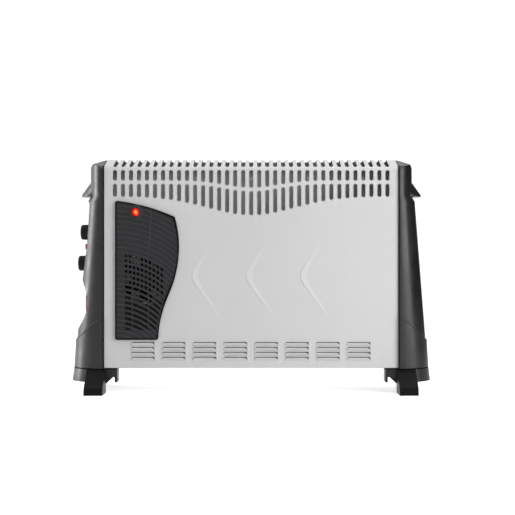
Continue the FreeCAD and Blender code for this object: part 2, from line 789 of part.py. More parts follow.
def grille_field(y, inset, depth):
    """The part of the grille inside a border of given width, as a block from y backwards."""

    def at(across, up, side, rise):
        x = grille_x + dim.grille_width * across + inset * side
        return Vector(x, y, grille_z + dim.grille_height * up + inset * rise)

    low_left = at(0, 0, 1, 1)
    low_right = at(0.679, 0, -1, 1)
    waist = at(0.9, 0.396, -1.05, 0.2)
    high_right = at(0.93, 0.884, -1, -1.2)
    high_left = at(0, 1, 1, -1)
    edges = [
        Part.LineSegment(low_left, low_right),
        Part.Arc(low_right, at(0.765, 0.235, -1, 0.2), waist),
        Part.Arc(waist, at(1, 0.692, -1, 0), high_right),
        Part.Arc(high_right, at(0.534, 0.951, 0, -1), high_left),
        Part.LineSegment(high_left, low_left),
    ]
    wire = Part.Wire([edge.toShape() for edge in edges])
    return prism(wire, Vector(0, depth, 0))


def rib_arc(apex):
    """Radius and centre height of the curved rib that leaves the left edge at a height."""
    radius = 70 + 105 * apex / dim.grille_height
    return radius, grille_z + apex - radius


def under_rib(apex):
    """Everything below one curved rib, as a round block through the front of the casing."""
    radius, centre_z = rib_arc(apex)
    return Part.makeCylinder(radius, 50, Vector(grille_x, front - 20, centre_z), Vector(0, 1, 0))


def grille_zone(inset, depth):
    """Where air passes the grille and the casing behind it."""
    field = grille_field(front - 20, inset, depth)
    limits = box_at(
        grille_x + dim.mesh_margin, grille_x + dim.mesh_margin + dim.mesh_width, front - 20, front + 30,
        grille_z + dim.mesh_foot, grille_z + dim.grille_height,
    )
    return field.common(limits).common(under_rib(dim.mesh_top))


def grille_ribs(width, y, depth):
    """Curved ribs that sweep down to the right, tighter towards the bottom."""
    rings = []
    out = Vector(0, 1, 0)
    apex = dim.grille_height - dim.grille_rib_pitch
    while apex > 0:
        radius, centre_z = rib_arc(apex)
        centre = Vector(grille_x, y, centre_z)
        rim = [centre + Vector(r * math.sin(a), 0, r * math.cos(a))
               for r in (radius + width / 2, radius - width / 2) for a in (0, 0.7, 1.4)]
        edges = [
            Part.Arc(rim[0], rim[1], rim[2]),
            Part.LineSegment(rim[2], rim[5]),
            Part.Arc(rim[5], rim[4], rim[3]),
            Part.LineSegment(rim[3], rim[0]),
        ]
        rings.append(prism(Part.Wire([edge.toShape() for edge in edges]), out * depth))
        apex -= dim.grille_rib_pitch
    return rings


def grille_bars():
    """Upright bars: a close set across the mesh, two across the long slots."""
    half = dim.grille_bar_width / 2
    low = grille_z
    high = grille_z + dim.grille_height
    below = under_rib(dim.mesh_split)
    bars = []
    x = grille_x + dim.mesh_margin + dim.grille_bar_pitch - half
    while x < grille_x + dim.grille_width:
        bars.append(box_at(x - half, x + half, front - 19, front + 19, low, high).cut(below))
        x += dim.grille_bar_pitch
    for across_x in (dim.slot_bar_first, dim.slot_bar_second):
        x = grille_x + across_x
        bars.append(box_at(x - half, x + half, front - 19, front + 19, low, high).common(below))
    return bars


def grille_spine(y):
    """One upright rib over the mesh, leaning to the right."""
    half = dim.grille_rib_width / 2
    foot = grille_x + dim.slot_bar_second
    top = foot + dim.spine_lean
    low = grille_z + dim.mesh_top
    high = grille_z + dim.grille_height
    corners = [Vector(foot - half, y, low), Vector(foot + half, y, low),
               Vector(top + half, y, high), Vector(top - half, y, high)]
    return prism(Part.makePolygon(corners + corners[:1]), Vector(0, dim.grille_recess, 0))


def fan_grille():
    face_y = front - dim.grille_thickness
    plate = grille_face(face_y).extrude(Vector(0, dim.grille_thickness, 0))
    corners = [edge for edge in plate.Edges if abs(edge.tangentAt(edge.FirstParameter).y) > 0.99]
    plate = plate.makeFillet(4, corners)
    rim = [
        edge for edge in plate.Edges
        if abs(edge.BoundBox.YMax - face_y) < 1e-4 and abs(edge.BoundBox.YMin - face_y) < 1e-4
    ]
    plate = plate.makeFillet(0.9, rim)
    recess = grille_field(face_y - 1, dim.grille_rim, 1 + dim.grille_recess)
    zone = grille_zone(dim.grille_rim + 3, 40)
    solid_ribs = grille_ribs(dim.mesh_land, front - 20, 40)
    openings = zone.cut(solid_ribs + grille_bars())
    boss = Part.makeCylinder(
        dim.bezel_radius + 3, dim.grille_thickness, Vector(lamp_x, face_y, lamp_z), Vector(0, 1, 0)
    )
    hole = Part.makeCylinder(
        dim.bezel_radius - 1 + dim.running_gap, 30, Vector(lamp_x, face_y - 5, lamp_z), Vector(0, 1, 0)
    )
    ribs = grille_ribs(dim.grille_rib_width, face_y + 0.3, dim.grille_recess)
    raised = recess.common(Part.makeCompound(ribs)).Solids
    raised += recess.common(grille_spine(face_y + 0.3)).Solids
    shape = plate.cut([recess, openings])
    shape = shape.fuse(raised + [boss]).cut(hole)
    return solid("fan_grille", shape)


def turned(label, points, place, axis):
    """A sub-part turned around its own axis; points are radius and height."""
    body = doc.addObject("PartDesign::Body", "Turned")
    sketch = outline(body, "XZ_Plane", points)
    doc.recompute()
    turn = body.newObject("PartDesign::Revolution", "Turn")
    turn.Profile = sketch
    turn.ReferenceAxis = (sketch, ["V_Axis"])
    turn.Angle = 360
    body.Placement = Placement(place, TURNS[axis])
    return subpart(body, label)


def padded(points, length, place):
    """A flat piece of even thickness, drawn in side view."""
    body = doc.addObject("PartDesign::Body", "Padded")
    sketch = outline(body, "YZ_Plane", points)
    doc.recompute()
    pad = body.newObject("PartDesign::Pad", "Pad")
    pad.Profile = sketch
    bind(pad, {"Length": length})
    body.Placement = Placement(place, Rotation())
    return body


def indicator():
    turned(
        "indicator_bezel",
        [
            ("lens_radius + bearing_gap", "-grille_thickness - 3"),
            ("bezel_radius - 1", "-grille_thickness - 3"),
            ("bezel_radius - 1", "0"),
            ("bezel_radius", "0"),
            ("bezel_radius", "0.8"),
            ("bezel_radius - 0.8", "1.6"),
            ("lens_radius + 0.5", "1.6"),
            ("lens_radius + bearing_gap", "0.8"),
        ],
        Vector(lamp_x, front - dim.grille_thickness, lamp_z),
        "-y",
    )
    turned(
        "indicator_lens",
        [
            ("0", "-grille_thickness - 3"),
            ("lens_radius", "-grille_thickness - 3"),
            ("lens_radius", "0.4"),
            ("lens_radius * 0.85", "1.7"),
            ("lens_radius * 0.5", "2.6"),
            ("0", "3"),
        ],
        Vector(lamp_x, front - dim.grille_thickness, lamp_z),
        "-y",
    )


def side_plates():
    points = [
        ("-body_depth / 2 + plate_inset", "panel_base + 2 * sheet"),
        ("body_depth / 2 - plate_inset", "panel_base + 2 * sheet"),
        ("body_depth / 2 - plate_inset", "overall_height - roof_rise - plate_inset"),
        ("0", "overall_height - plate_inset"),
        ("-body_depth / 2 + plate_inset", "overall_height - roof_rise - plate_inset"),
    ]
    for label, x in (("left_side_plate", -panel_half), ("right_side_plate", panel_half - dim.plate_sheet)):
        plate = padded(points, "plate_sheet", Vector(x, 0, 0))
        holes = []
        for y in ("-post_back", "post_back"):
            for z in ("post_low", "post_high"):
                start = "-panel_width / 2 - 1" if x < 0 else "panel_width / 2 - plate_sheet - 1"
                holes.append(rod((start, y, z), "x", "screw_radius + running_gap", "plate_sheet + 2"))
        subpart(less(plate, *holes), label)


def base_plate():
    """Floor of the casing with a row of intake slots."""
    body = doc.addObject("PartDesign::Body", "BasePlate")
    left, right = "-panel_width / 2 + 0.5", "panel_width / 2 - 0.5"
    near, far = "-body_depth / 2 + 3", "body_depth / 2 - hem"
    sketch = outline(body, "XY_Plane", [(left, near), (right, near), (right, far), (left, far)])
    doc.recompute()
    pad = body.newObject("PartDesign::Pad", "Pad")
    pad.Profile = sketch
    bind(pad, {"Length": "sheet"})
    doc.recompute()
    slot = outline(
        body, "XY_Plane",
        [("-panel_width / 2 + 30", "-30"), ("-panel_width / 2 + 36", "-30"),
         ("-panel_width / 2 + 36", "30"), ("-panel_width / 2 + 30", "30")],
    )
    doc.recompute()
    pocket = body.newObject("PartDesign::Pocket", "Slot")
    pocket.Profile = slot
    pocket.Type = 1
    pocket.Midplane = True
    doc.recompute()
    row = body.newObject("PartDesign::LinearPattern", "Slots")
    row.Originals = [pocket]
    row.Direction = (slot, ["H_Axis"])
    bind(row, {"Length": "panel_width - 66"})
    row.Occurrences = 28
    body.Tip = row
    body.Placement = Placement(Vector(0, 0, dim.panel_base + dim.sheet), Rotation())
    subpart(body, "base_plate")


def fan_unit():
    back = "-body_depth / 2 + sheet"
    x = "-panel_width / 2 + grille_left + fan_across"
    z = "fan_height"
    inner = "fan_radius + fan_clearance"
    cover = block(
        ("-panel_width / 2 + grille_left + mesh_margin - 5", back, "panel_base + grille_base + mesh_foot - 5"),
        ("grille_width - mesh_margin + 5", "shroud_wall", "mesh_top - mesh_foot + 10"),
    )
    shroud = less(
        joined(cover, rod((x, back, z), "y", inner + " + shroud_wall", "shroud_depth")),
        rod((x, back + " - 1", z), "y", inner, "shroud_depth + 2"),
    )
    subpart(shroud, "fan_shroud")
    seat = back + " + shroud_depth"
    reach = "(" + inner + " + shroud_wall)"
    bracket = less(
        block((x + " - bracket_width / 2", seat, z + " - " + reach),
              ("bracket_width", "bracket_sheet", "2 * " + reach)),
        rod((x, seat + " - 1", z), "y", "shaft_radius + bearing_gap", "bracket_sheet + 2"),
    )
    subpart(bracket, "motor_bracket")
    stack = seat + " + bracket_sheet"
    stator = less(
        block((x + " - motor_size / 2", stack, z + " - motor_size / 2"),
              ("motor_size", "motor_depth", "motor_size")),
        rod((x, stack + " - 1", z), "y", "motor_size / 4 + running_gap", "motor_depth + 2"),
        block((x + " - motor_size / 4", stack + " - 1", z + " + motor_size / 4 + 4"),
              ("motor_size / 2", "motor_depth + 2", "motor_size / 4 - 9")),
    )
    subpart(stator, "motor_stator")
    coil = block((x + " - motor_size / 4", stack, z + " + motor_size / 2"),
                 ("motor_size / 2", "motor_depth", "motor_size / 4"))
    subpart(coil, "motor_coil")
    cap_y = stack + " + motor_depth"
    rear_bracket = less(
        block((x + " - bracket_width / 2", cap_y, z + " - motor_size / 2"),
              ("bracket_width", "bracket_sheet", "motor_size")),
        rod((x, cap_y + " - 1", z), "y", "shaft_radius + bearing_gap", "bracket_sheet + 2"),
    )
    subpart(rear_bracket, "motor_rear_bracket")
    shaft = joined(
        rod((x, back + " + 6", z), "y", "shaft_radius", "shroud_depth + motor_depth + 2 * bracket_sheet - 2"),
        rod((x, stack + " + 0.5", z), "y", "motor_size / 4", "motor_depth - 1"),
    )
    subpart(shaft, "motor_shaft")
    impeller()


def impeller():
    """Hub with pitched blades on the motor shaft."""
    hub_y = front + dim.sheet + 4
    depth = 12
    centre = Vector(fan_x, hub_y, dim.fan_height)
    out = Vector(0, 1, 0)
    shape = Part.makeCylinder(dim.hub_radius, depth, centre, out)
    span = dim.fan_radius - dim.hub_radius + 3
    blades = []
    for i in range(int(dim.blade_count)):
        blade = Part.makeBox(24, 1.4, span, Vector(-12, -0.7, dim.hub_radius - 3))
        blade.rotate(Vector(), Vector(0, 0, 1), dim.blade_pitch)
        blade.rotate(Vector(), out, i * 360 / int(dim.blade_count))
        blade.translate(centre + Vector(0, depth / 2, 0))
        blades.append(blade)
    disc = Part.makeCylinder(dim.fan_radius, 40, centre - Vector(0, 14, 0), out)
    shape = shape.fuse([blade.common(disc) for blade in blades])
    bore = Part.makeCylinder(dim.shaft_radius + dim.bearing_gap, 60, centre + Vector(0, 1.5, 0), out)
    solid("fan_impeller", shape.cut(bore))


def elements():
    """Two finned elements along the casing, held at both ends by ceramic blocks."""
    ends = []
    for label, height in (("element_upper", "element_upper"), ("element_lower", "element_lower")):
        y = "body_depth / 2 - element_back"
        start = "-panel_width / 2 + element_end"
        length = "panel_width - 2 * element_end"
        half = "element_size / 2"
        fins = joined(
            block((start, y + " - " + half, height + " - fin_thickness / 2"),
                  (length, "element_size", "fin_thickness")),
            block((start, y + " - fin_thickness / 2", height + " - " + half),
                  (length, "fin_thickness", "element_size")),
            block((start, y + " - " + half, height + " - element_size / 5"),
                  (length, "fin_thickness", "element_size * 0.4")),
            block((start, y + " + " + half + " - fin_thickness", height + " - element_size / 5"),
                  (length, "fin_thickness", "element_size * 0.4")),
            rod((start, y, height), "x", "core_radius", length),
        )
        subpart(fins, label)
        for side in ("-panel_width / 2 + plate_sheet", "panel_width / 2 - element_end"):
            ends.append(block((side, y + " - 9", height + " - 9"), ("element_end - plate_sheet", "18", "18")))
    subpart(grouped(*ends), "element_insulators")


def cutout():
    y = "body_depth / 2 - 2 * sheet"
    z = "element_upper + element_size / 2 + 22"
    bracket = joined(
        block(("50", y + " - 1.2", z), ("26", "1.2", "16")),
        block(("50", y + " - 24", z), ("26", "24", "1.2")),
    )
    subpart(bracket, "cutout_bracket")
    sensor = joined(
        rod(("63", y + " - 13", z + " - 7"), "z", "8", "7"),
        block(("59", y + " - 16", z + " - 13"), ("1", "6", "6")),
        block(("66", y + " - 16", z + " - 13"), ("1", "6", "6")),
    )
    subpart(sensor, "thermal_cutout")


def knob(label, height, start):
    """Round control knob: turned body with a fluted grip and a pointer groove."""
    body = doc.addObject("PartDesign::Body", "Knob")
    sketch = outline(
        body, "XZ_Plane",
        [
            ("0", "knob_depth - 4"),
            ("spindle_radius + bearing_gap", "knob_depth - 4"),
            ("spindle_radius + bearing_gap", "0"),
            ("knob_radius", "0"),
            ("knob_radius", "2.4"),
            ("knob_radius - 0.7", "3"),
            ("knob_radius - 1.2", "knob_depth - 2.4"),
            ("knob_radius - 2", "knob_depth - 0.8"),
            ("knob_radius - 3.6", "knob_depth"),
            ("0", "knob_depth"),
        ],
    )
    doc.recompute()
    turn = body.newObject("PartDesign::Revolution", "Turn")
    turn.Profile = sketch
    turn.ReferenceAxis = (sketch, ["V_Axis"])
    turn.Angle = 360
    doc.recompute()
    flute = outline(
        body, "XY_Plane",
        [("knob_radius - 1.5", "-0.6"), ("knob_radius + 2", "-0.6"),
         ("knob_radius + 2", "0.6"), ("knob_radius - 1.5", "0.6")],
    )
    flute.AttachmentOffset = Placement(Vector(0, 0, dim.knob_depth + 1), Rotation())
    doc.recompute()
    groove = body.newObject("PartDesign::Pocket", "Flute")
    groove.Profile = flute
    bind(groove, {"Length": "knob_depth - 2.6"})
    doc.recompute()
    ring = body.newObject("PartDesign::PolarPattern", "Flutes")
    ring.Originals = [groove]
    ring.Axis = (flute, ["N_Axis"])
    ring.Angle = 360
    ring.Occurrences = 20
    body.Tip = ring
    doc.recompute()
    mark = outline(body, "XY_Plane", [("-0.9", "knob_radius * 0.35"), ("0.9", "knob_radius * 0.35"),
                                      ("0.9", "knob_radius - 2.4"), ("-0.9", "knob_radius - 2.4")])
    mark.AttachmentOffset = Placement(Vector(0, 0, dim.knob_depth + 1), Rotation())
    doc.recompute()
    pointer = body.newObject("PartDesign::Pocket", "Pointer")
    pointer.Profile = mark
    pointer.Length = 1.7
    body.Tip = pointer
    base = control_floor(height - dim.knob_radius) - dim.knob_gap
    upright = Rotation(Vector(0, 0, 1), Vector(0, 1, 0), Vector(-1, 0, 0), "ZYX")
    body.Placement = Placement(Vector(base, 0, height), Rotation(Vector(1, 0, 0), start) * upright)
    subpart(body, label)
    return base


def rotary(name, height):
    """Knob, spindle and the switch body that the spindle turns in."""
    start = {"thermostat": dim.thermostat_start, "mode": dim.mode_start}[name]
    base = knob(name + "_knob", height, start)
    face = -panel_half - dim.switch_depth
    tip = base - dim.knob_depth + 4.5
    spindle = doc.addObject("Part::Cylinder", "Spindle")
    bind(spindle, {"Radius": "spindle_radius"})
    spindle.Height = face + 8 - tip
    spindle.Placement = Placement(Vector(tip, 0, height), TURNS["x"])
    subpart(spindle, name + "_spindle")
    alias = {"thermostat": "thermostat_height", "mode": "mode_height"}[name]
    body = less(
        joined(
            block(("-panel_width / 2 - switch_depth", "-switch_size / 2", alias + " - switch_size / 2"),
                  ("switch_depth", "switch_size", "switch_size")),
            block(("-panel_width / 2 - switch_depth / 2", "-switch_size / 2 - 7", alias + " - 3"),
                  ("0.8", "switch_size + 14", "6")),
        ),
        rod(("-panel_width / 2 - switch_depth - 1", "0", alias), "x", "spindle_radius + bearing_gap", "12"),
    )
    subpart(body, name + "_switch_body")


def fan_switch():
    half_y = dim.rocker_width / 2
    half_z = dim.rocker_height / 2
    wall = dim.rocker_wall
    z = dim.fan_switch_height
    top = rocker_x - 2.5
    back = -panel_half - 14
    frame_box = box_at(top, back, -half_y, half_y, z - half_z, z + half_z)
    inside = box_at(top - 1, back - 2, -half_y + wall, half_y - wall, z - half_z + wall, z + half_z - wall)
    pin_hole = Part.makeCylinder(
        1.2 + dim.bearing_gap, dim.rocker_height - wall, Vector(rocker_x, 0, z - half_z + wall / 2)
    )
    solid("rocker_frame", frame_box.cut([inside, pin_hole]).removeSplitter())
    reach = half_y - wall - dim.running_gap
    tall = dim.rocker_height - 2 * wall - 2 * dim.running_gap
    low = z - tall / 2
    corners = [
        Vector(rocker_x + 2.6, -reach * 0.75, low),
        Vector(rocker_x - 2, -reach + 0.35, low),
        Vector(rocker_x - 6.4, -reach + 0.8, low),
        Vector(rocker_x - 5, 0, low),
        Vector(rocker_x - 6.4, reach - 0.8, low),
        Vector(rocker_x - 2, reach - 0.35, low),
        Vector(rocker_x + 2.6, reach * 0.75, low),
    ]
    paddle = prism(rounded(corners, [0, 2, 1, 0, 1, 2, 0]), Vector(0, 0, tall))
    pin = Part.makeCylinder(1.2, tall + wall - 0.4, Vector(rocker_x, 0, low - wall / 2 + 0.2))
    solid("fan_rocker", paddle.fuse(pin).removeSplitter())
    body = block(
        ("-panel_width / 2 - 14", "-rocker_width / 2 + 1", "fan_switch_height - rocker_height / 2 + 1"),
        ("14", "rocker_width - 2", "rocker_height - 2"),
    )
    subpart(body, "fan_switch_body")
    return frame_box


def timer():
    z = dim.timer_height
    foot = timer_floor - dim.running_gap
    top = "dial_thickness - 1.8"
    place = Vector(foot, 0, z)
    turned(
        "timer_dial",
        [
            ("timer_neck + bearing_gap", "0"),
            ("dial_radius", "0"),
            ("dial_radius", top),
            ("timer_disc + 2 * running_gap", top),
            ("timer_disc + 2 * running_gap", "2.6"),
            ("timer_neck + bearing_gap", "2.6"),
        ],
        place,
        "-x",
    )
    face_x = -panel_half - dim.timer_body_depth
    neck = Part.makeCylinder(dim.timer_neck, face_x - foot + 2.6 + dim.running_gap,
                             Vector(foot - 2.6 - dim.running_gap, 0, z), Vector(1, 0, 0))
    disc = Part.makeCylinder(dim.timer_disc, dim.dial_thickness - 2.6 - 2 * dim.running_gap,
                             Vector(foot - dim.dial_thickness + dim.running_gap, 0, z), Vector(1, 0, 0))
    slot_half = (dim.slider_width + dim.slider_travel) / 2 + dim.running_gap
    low = z - 9 - dim.slider_height / 2
    slot = box_at(foot - 20, foot - 2.8, -slot_half, slot_half,
                  low - dim.running_gap / 2, low + dim.slider_height + dim.running_gap / 2)
    solid("timer_face", neck.fuse(disc).cut(slot).removeSplitter())
    slide = box_at(foot - dim.dial_thickness - 1.2, foot - 2.8,
                   -dim.slider_width / 2 - dim.slider_travel / 2, dim.slider_width / 2 - dim.slider_travel / 2,
                   low, low + dim.slider_height)
    solid("timer_override", slide)
    body = block(
        ("-panel_width / 2 - timer_body_depth", "-timer_size / 2", "timer_height - timer_size / 2"),
        ("timer_body_depth", "timer_size", "timer_size"),
    )
    subpart(body, "timer_body")
    segments()


def segments():
    """Ring of little half-hour segments on the rim of the dial."""
    body = doc.addObject("PartDesign::Body", "Segments")
    sketch = outline(
        body, "XZ_Plane",
        [("dial_radius - 5", "0"), ("dial_radius", "0"), ("dial_radius", "1.6"), ("dial_radius - 5", "1.6")],
    )
    doc.recompute()
    turn = body.newObject("PartDesign::Revolution", "Ring")
    turn.Profile = sketch
    turn.ReferenceAxis = (sketch, ["V_Axis"])
    turn.Angle = 360
    doc.recompute()
    gap = outline(body, "XY_Plane", [("dial_radius - 6", "-0.3"), ("dial_radius + 1", "-0.3"),
                                     ("dial_radius + 1", "0.3"), ("dial_radius - 6", "0.3")])
    gap.AttachmentOffset = Placement(Vector(0, 0, 2.6), Rotation())
    doc.recompute()
    notch = body.newObject("PartDesign::Pocket", "Gap")
    notch.Profile = gap
    notch.Length = 2
    doc.recompute()
    ring = body.newObject("PartDesign::PolarPattern", "Gaps")
    ring.Originals = [notch]
    ring.Axis = (gap, ["N_Axis"])
    ring.Angle = 360
    ring.Occurrences = int(dim.segment_count)
    body.Tip = ring
    foot = timer_floor - dim.running_gap - dim.dial_thickness + 1.8
    body.Placement = Placement(Vector(foot, 0, dim.timer_height), TURNS["-x"])
    subpart(body, "timer_segments")


def cord_inlet():
    place = gland_place()
    turned(
        "cord_gland",
        [
            ("cord_radius", "-9"),
            ("gland_radius", "-9"),
            ("gland_radius", "1.6"),
            ("gland_radius + 2.4", "1.6"),
            ("gland_radius + 2.4", "3"),
            ("gland_radius + 1", "4.4"),
            ("cord_radius + 1.6", "5"),
            ("cord_radius", "4"),
        ],
        place,
        "y",
    )
    block_part = joined(
        block(("-panel_width / 2 - 16", "-4", "cord_height - 12"), ("16", "34", "24")),
        block(("-panel_width / 2 - 20", "0", "cord_height - 9"), ("4", "26", "18")),
    )
    subpart(block_part, "terminal_block")


def screw(place, along, length):
    """Pan-head screw; the head sits on the place and the shank runs along."""
    head = Part.makeCylinder(dim.head_radius, dim.head_height, place, along * -1)
    shank = Part.makeCylinder(dim.screw_radius, length, place, along)
    return head.fuse(shank)


def screws():
    """Screws as three groups: side plates to caps, feet to caps, roof lip to rear panel."""
    flip = Vector(1, 0, 0)
    sideways = Vector(-1, 0, 0)
    left = [screw(Vector(-panel_half + dim.plate_sheet, y, z), sideways, 11) for y, z in post_places()]
    right = [item.mirror(Vector(), flip) for item in left]
    solid("cap_screws", Part.makeCompound(left + right))
    left = [screw(place, Vector(0, 0, 1), 8) for place in foot_screw_places()]
    right = [item.mirror(Vector(), flip) for item in left]
    solid("foot_screws", Part.makeCompound(left + right))
    rear_row = [screw(place, Vector(0, -1, 0), 6) for place in panel_screw_places()]
    solid("panel_screws", Part.makeCompound(rear_row))


front_panel()
rear_panel()
base_plate()
side_plates()
end_caps()
feet()
screws()
fan_grille()
indicator()
fan_unit()
elements()
cutout()
rotary("thermostat", dim.thermostat_height)
rotary("mode", dim.mode_height)
fan_switch()
timer()
cord_inlet()

doc.recompute()
for thing in doc.Objects:
    if "Invalid" in thing.State or "Error" in thing.State:
        raise RuntimeError(thing.Label + " did not compute")
for piece in SUBPARTS:
    if piece.Shape.isNull() or not piece.Shape.isValid():
        raise RuntimeError(piece.Label + " has no valid shape")
os.makedirs("parts", exist_ok=True)
for piece in SUBPARTS:
    piece.Shape.exportStep("parts/" + piece.Label + ".step")
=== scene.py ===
"""Looks of the convector heater: paints, plastics, metals, the lit lamp, printed scales and the studio."""
import json
import math

import bmesh
import bpy
from mathutils import Matrix, Vector
from mathutils.bvhtree import BVHTree


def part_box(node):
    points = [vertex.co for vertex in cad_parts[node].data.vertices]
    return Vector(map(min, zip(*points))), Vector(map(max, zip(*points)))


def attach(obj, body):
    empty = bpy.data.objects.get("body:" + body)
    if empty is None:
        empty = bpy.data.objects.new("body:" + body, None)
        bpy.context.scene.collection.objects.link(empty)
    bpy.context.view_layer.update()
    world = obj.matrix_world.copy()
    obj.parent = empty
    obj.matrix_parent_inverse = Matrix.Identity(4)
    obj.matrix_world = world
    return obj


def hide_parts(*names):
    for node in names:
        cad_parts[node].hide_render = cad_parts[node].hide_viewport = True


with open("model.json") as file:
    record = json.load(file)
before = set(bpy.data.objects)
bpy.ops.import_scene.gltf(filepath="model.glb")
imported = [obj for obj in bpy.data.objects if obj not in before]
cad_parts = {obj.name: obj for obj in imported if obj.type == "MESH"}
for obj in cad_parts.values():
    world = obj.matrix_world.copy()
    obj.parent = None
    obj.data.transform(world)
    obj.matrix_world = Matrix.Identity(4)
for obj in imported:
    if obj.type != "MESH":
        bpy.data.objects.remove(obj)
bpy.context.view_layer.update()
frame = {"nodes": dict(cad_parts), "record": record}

nodes = frame["nodes"]
scene = bpy.context.scene


def middle_of(node):
    """The middle of a CAD node's box."""
    low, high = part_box(node)
    return (low + high) / 2


def shell_of(node):
    """A CAD node's mesh, to cast rays at."""
    mesh = nodes[node].data
    return BVHTree.FromPolygons([v.co for v in mesh.vertices], [p.vertices for p in mesh.polygons])


# Shader nodes

def new_material(name):
    mat = bpy.data.materials.new(name)
    mat.use_nodes = True
    tree = mat.node_tree
    return mat, tree, tree.nodes["Principled BSDF"]


def add(tree, kind, **values):
    node = tree.nodes.new(kind)
    for key, value in values.items():
        setattr(node, key, value)
    return node


def own_place(tree):
    """The place of a point in the object's own metres."""
    return add(tree, "ShaderNodeTexCoord").outputs["Object"]


def own_axes(tree, place):
    split = add(tree, "ShaderNodeSeparateXYZ")
    tree.links.new(place, split.inputs["Vector"])
    return split.outputs


def noise(tree, scale, detail, stretch=(1, 1, 1)):
    """Noise in the object's own metres, so its grain has a real size."""
    place = add(tree, "ShaderNodeMapping")
    place.inputs["Scale"].default_value = stretch
    tree.links.new(own_place(tree), place.inputs["Vector"])
    texture = add(tree, "ShaderNodeTexNoise")
    texture.inputs["Scale"].default_value = scale
    texture.inputs["Detail"].default_value = detail
    tree.links.new(place.outputs["Vector"], texture.inputs["Vector"])
    return texture.outputs["Fac"]


def ramp(tree, factor, stops):
    node = add(tree, "ShaderNodeValToRGB")
    elements = node.color_ramp.elements
    while len(elements) < len(stops):
        elements.new(0.5)
    for element, (place, colour) in zip(elements, stops):
        element.position = place
        element.color = (*colour, 1)
    tree.links.new(factor, node.inputs["Fac"])
    return node.outputs["Color"]


def drift(tree, factor, low, high):
    """A colour that wanders between two others with a noise, most of which lies from 0.3 to 0.7."""
    return ramp(tree, factor, [(0.3, low), (0.7, high)])


def along(tree, value, start, end, low, high):
    """A value that goes from low to high while another goes from start to end."""
    fade = add(tree, "ShaderNodeMapRange")
    fade.inputs["From Min"].default_value = start
    fade.inputs["From Max"].default_value = end
    fade.inputs["To Min"].default_value = low
    fade.inputs["To Max"].default_value = high
    tree.links.new(value, fade.inputs["Value"])
    return fade.outputs["Result"]


def joined(tree, operation, *values):
    """One or two values worked into one."""
    node = add(tree, "ShaderNodeMath", operation=operation)
    for value, socket in zip(values, node.inputs):
        tree.links.new(value, socket)
    return node.outputs["Value"]


def laid_over(tree, share, under, over):
    """A colour with a second one, plain or from a socket, over it where the share is one."""
    node = add(tree, "ShaderNodeMix", data_type="RGBA")
    tree.links.new(share, node.inputs["Factor"])
    tree.links.new(under, node.inputs["A"])
    if isinstance(over, tuple):
        node.inputs["B"].default_value = (*over, 1)
    else:
        tree.links.new(over, node.inputs["B"])
    return node.outputs["Result"]


def grey(value):
    return (value, value, value)


# Materials

RELIEF = 0.0002
BLOTCH_DETAIL = 4
GLOSS_DETAIL = 3
GRAIN_DETAIL = 2
GLOSS_SHARE = 0.3


def surface(name, low, high, rough, grain, bump, metallic=0.0, blotch=12.0,
            stretch=(1, 1, 1), shine=0.5, patch=None):
    """A finish with slow colour change, uneven gloss and a fine grain."""
    mat, tree, shader = new_material(name)
    colour = drift(tree, noise(tree, blotch, BLOTCH_DETAIL), low, high)
    tree.links.new(colour, shader.inputs["Base Color"])
    patches = noise(tree, patch or grain * GLOSS_SHARE, GLOSS_DETAIL, stretch)
    gloss = drift(tree, patches, grey(rough[0]), grey(rough[1]))
    tree.links.new(gloss, shader.inputs["Roughness"])
    relief = add(tree, "ShaderNodeBump")
    relief.inputs["Strength"].default_value = bump
    relief.inputs["Distance"].default_value = RELIEF
    tree.links.new(noise(tree, grain, GRAIN_DETAIL, stretch), relief.inputs["Height"])
    tree.links.new(relief.outputs["Normal"], shader.inputs["Normal"])
    shader.inputs["Metallic"].default_value = metallic
    shader.inputs["Specular IOR Level"].default_value = shine
    return mat


def parts_of(mat):
    """The node tree of a finish and its shader."""
    return mat.node_tree, mat.node_tree.nodes["Principled BSDF"]


def colour_of(shader):
    """The socket that a shader's colour comes from."""
    return shader.inputs["Base Color"].links[0].from_socket


def lamp_lens():
    """Clear red moulding lit from behind: a slanting yellow glow in the middle, red to the rim."""
    off_centre = Vector((0.0001, 0, -0.0001))
    slant = math.radians(-28)
    spread = (0.0048, 1.0, 0.0078)
    glow_stops = [
        (0.0, (1, 0.82, 0.0)),
        (0.24, (1, 0.62, 0.0)),
        (0.42, (1, 0.04, 0.0)),
        (0.72, (0.85, 0.0, 0.005)),
        (1.0, (0.3, 0.0, 0.0)),
    ]
    mat, tree, shader = new_material("red_lens")
    place = add(tree, "ShaderNodeMapping", vector_type="TEXTURE")
    place.inputs["Location"].default_value = middle_of("indicator_lens") + off_centre
    place.inputs["Rotation"].default_value = (0, slant, 0)
    place.inputs["Scale"].default_value = spread
    tree.links.new(own_place(tree), place.inputs["Vector"])
    away = add(tree, "ShaderNodeVectorMath", operation="LENGTH")
    tree.links.new(place.outputs["Vector"], away.inputs[0])
    glow = ramp(tree, away.outputs["Value"], glow_stops)
    body = drift(tree, noise(tree, scale=900, detail=2), (0.30, 0.004, 0.004), (0.42, 0.008, 0.006))
    tree.links.new(body, shader.inputs["Base Color"])
    tree.links.new(glow, shader.inputs["Emission Color"])
    shader.inputs["Emission Strength"].default_value = 0.95
    shader.inputs["Roughness"].default_value = 0.14
    shader.inputs["Specular IOR Level"].default_value = 0.3
    return mat


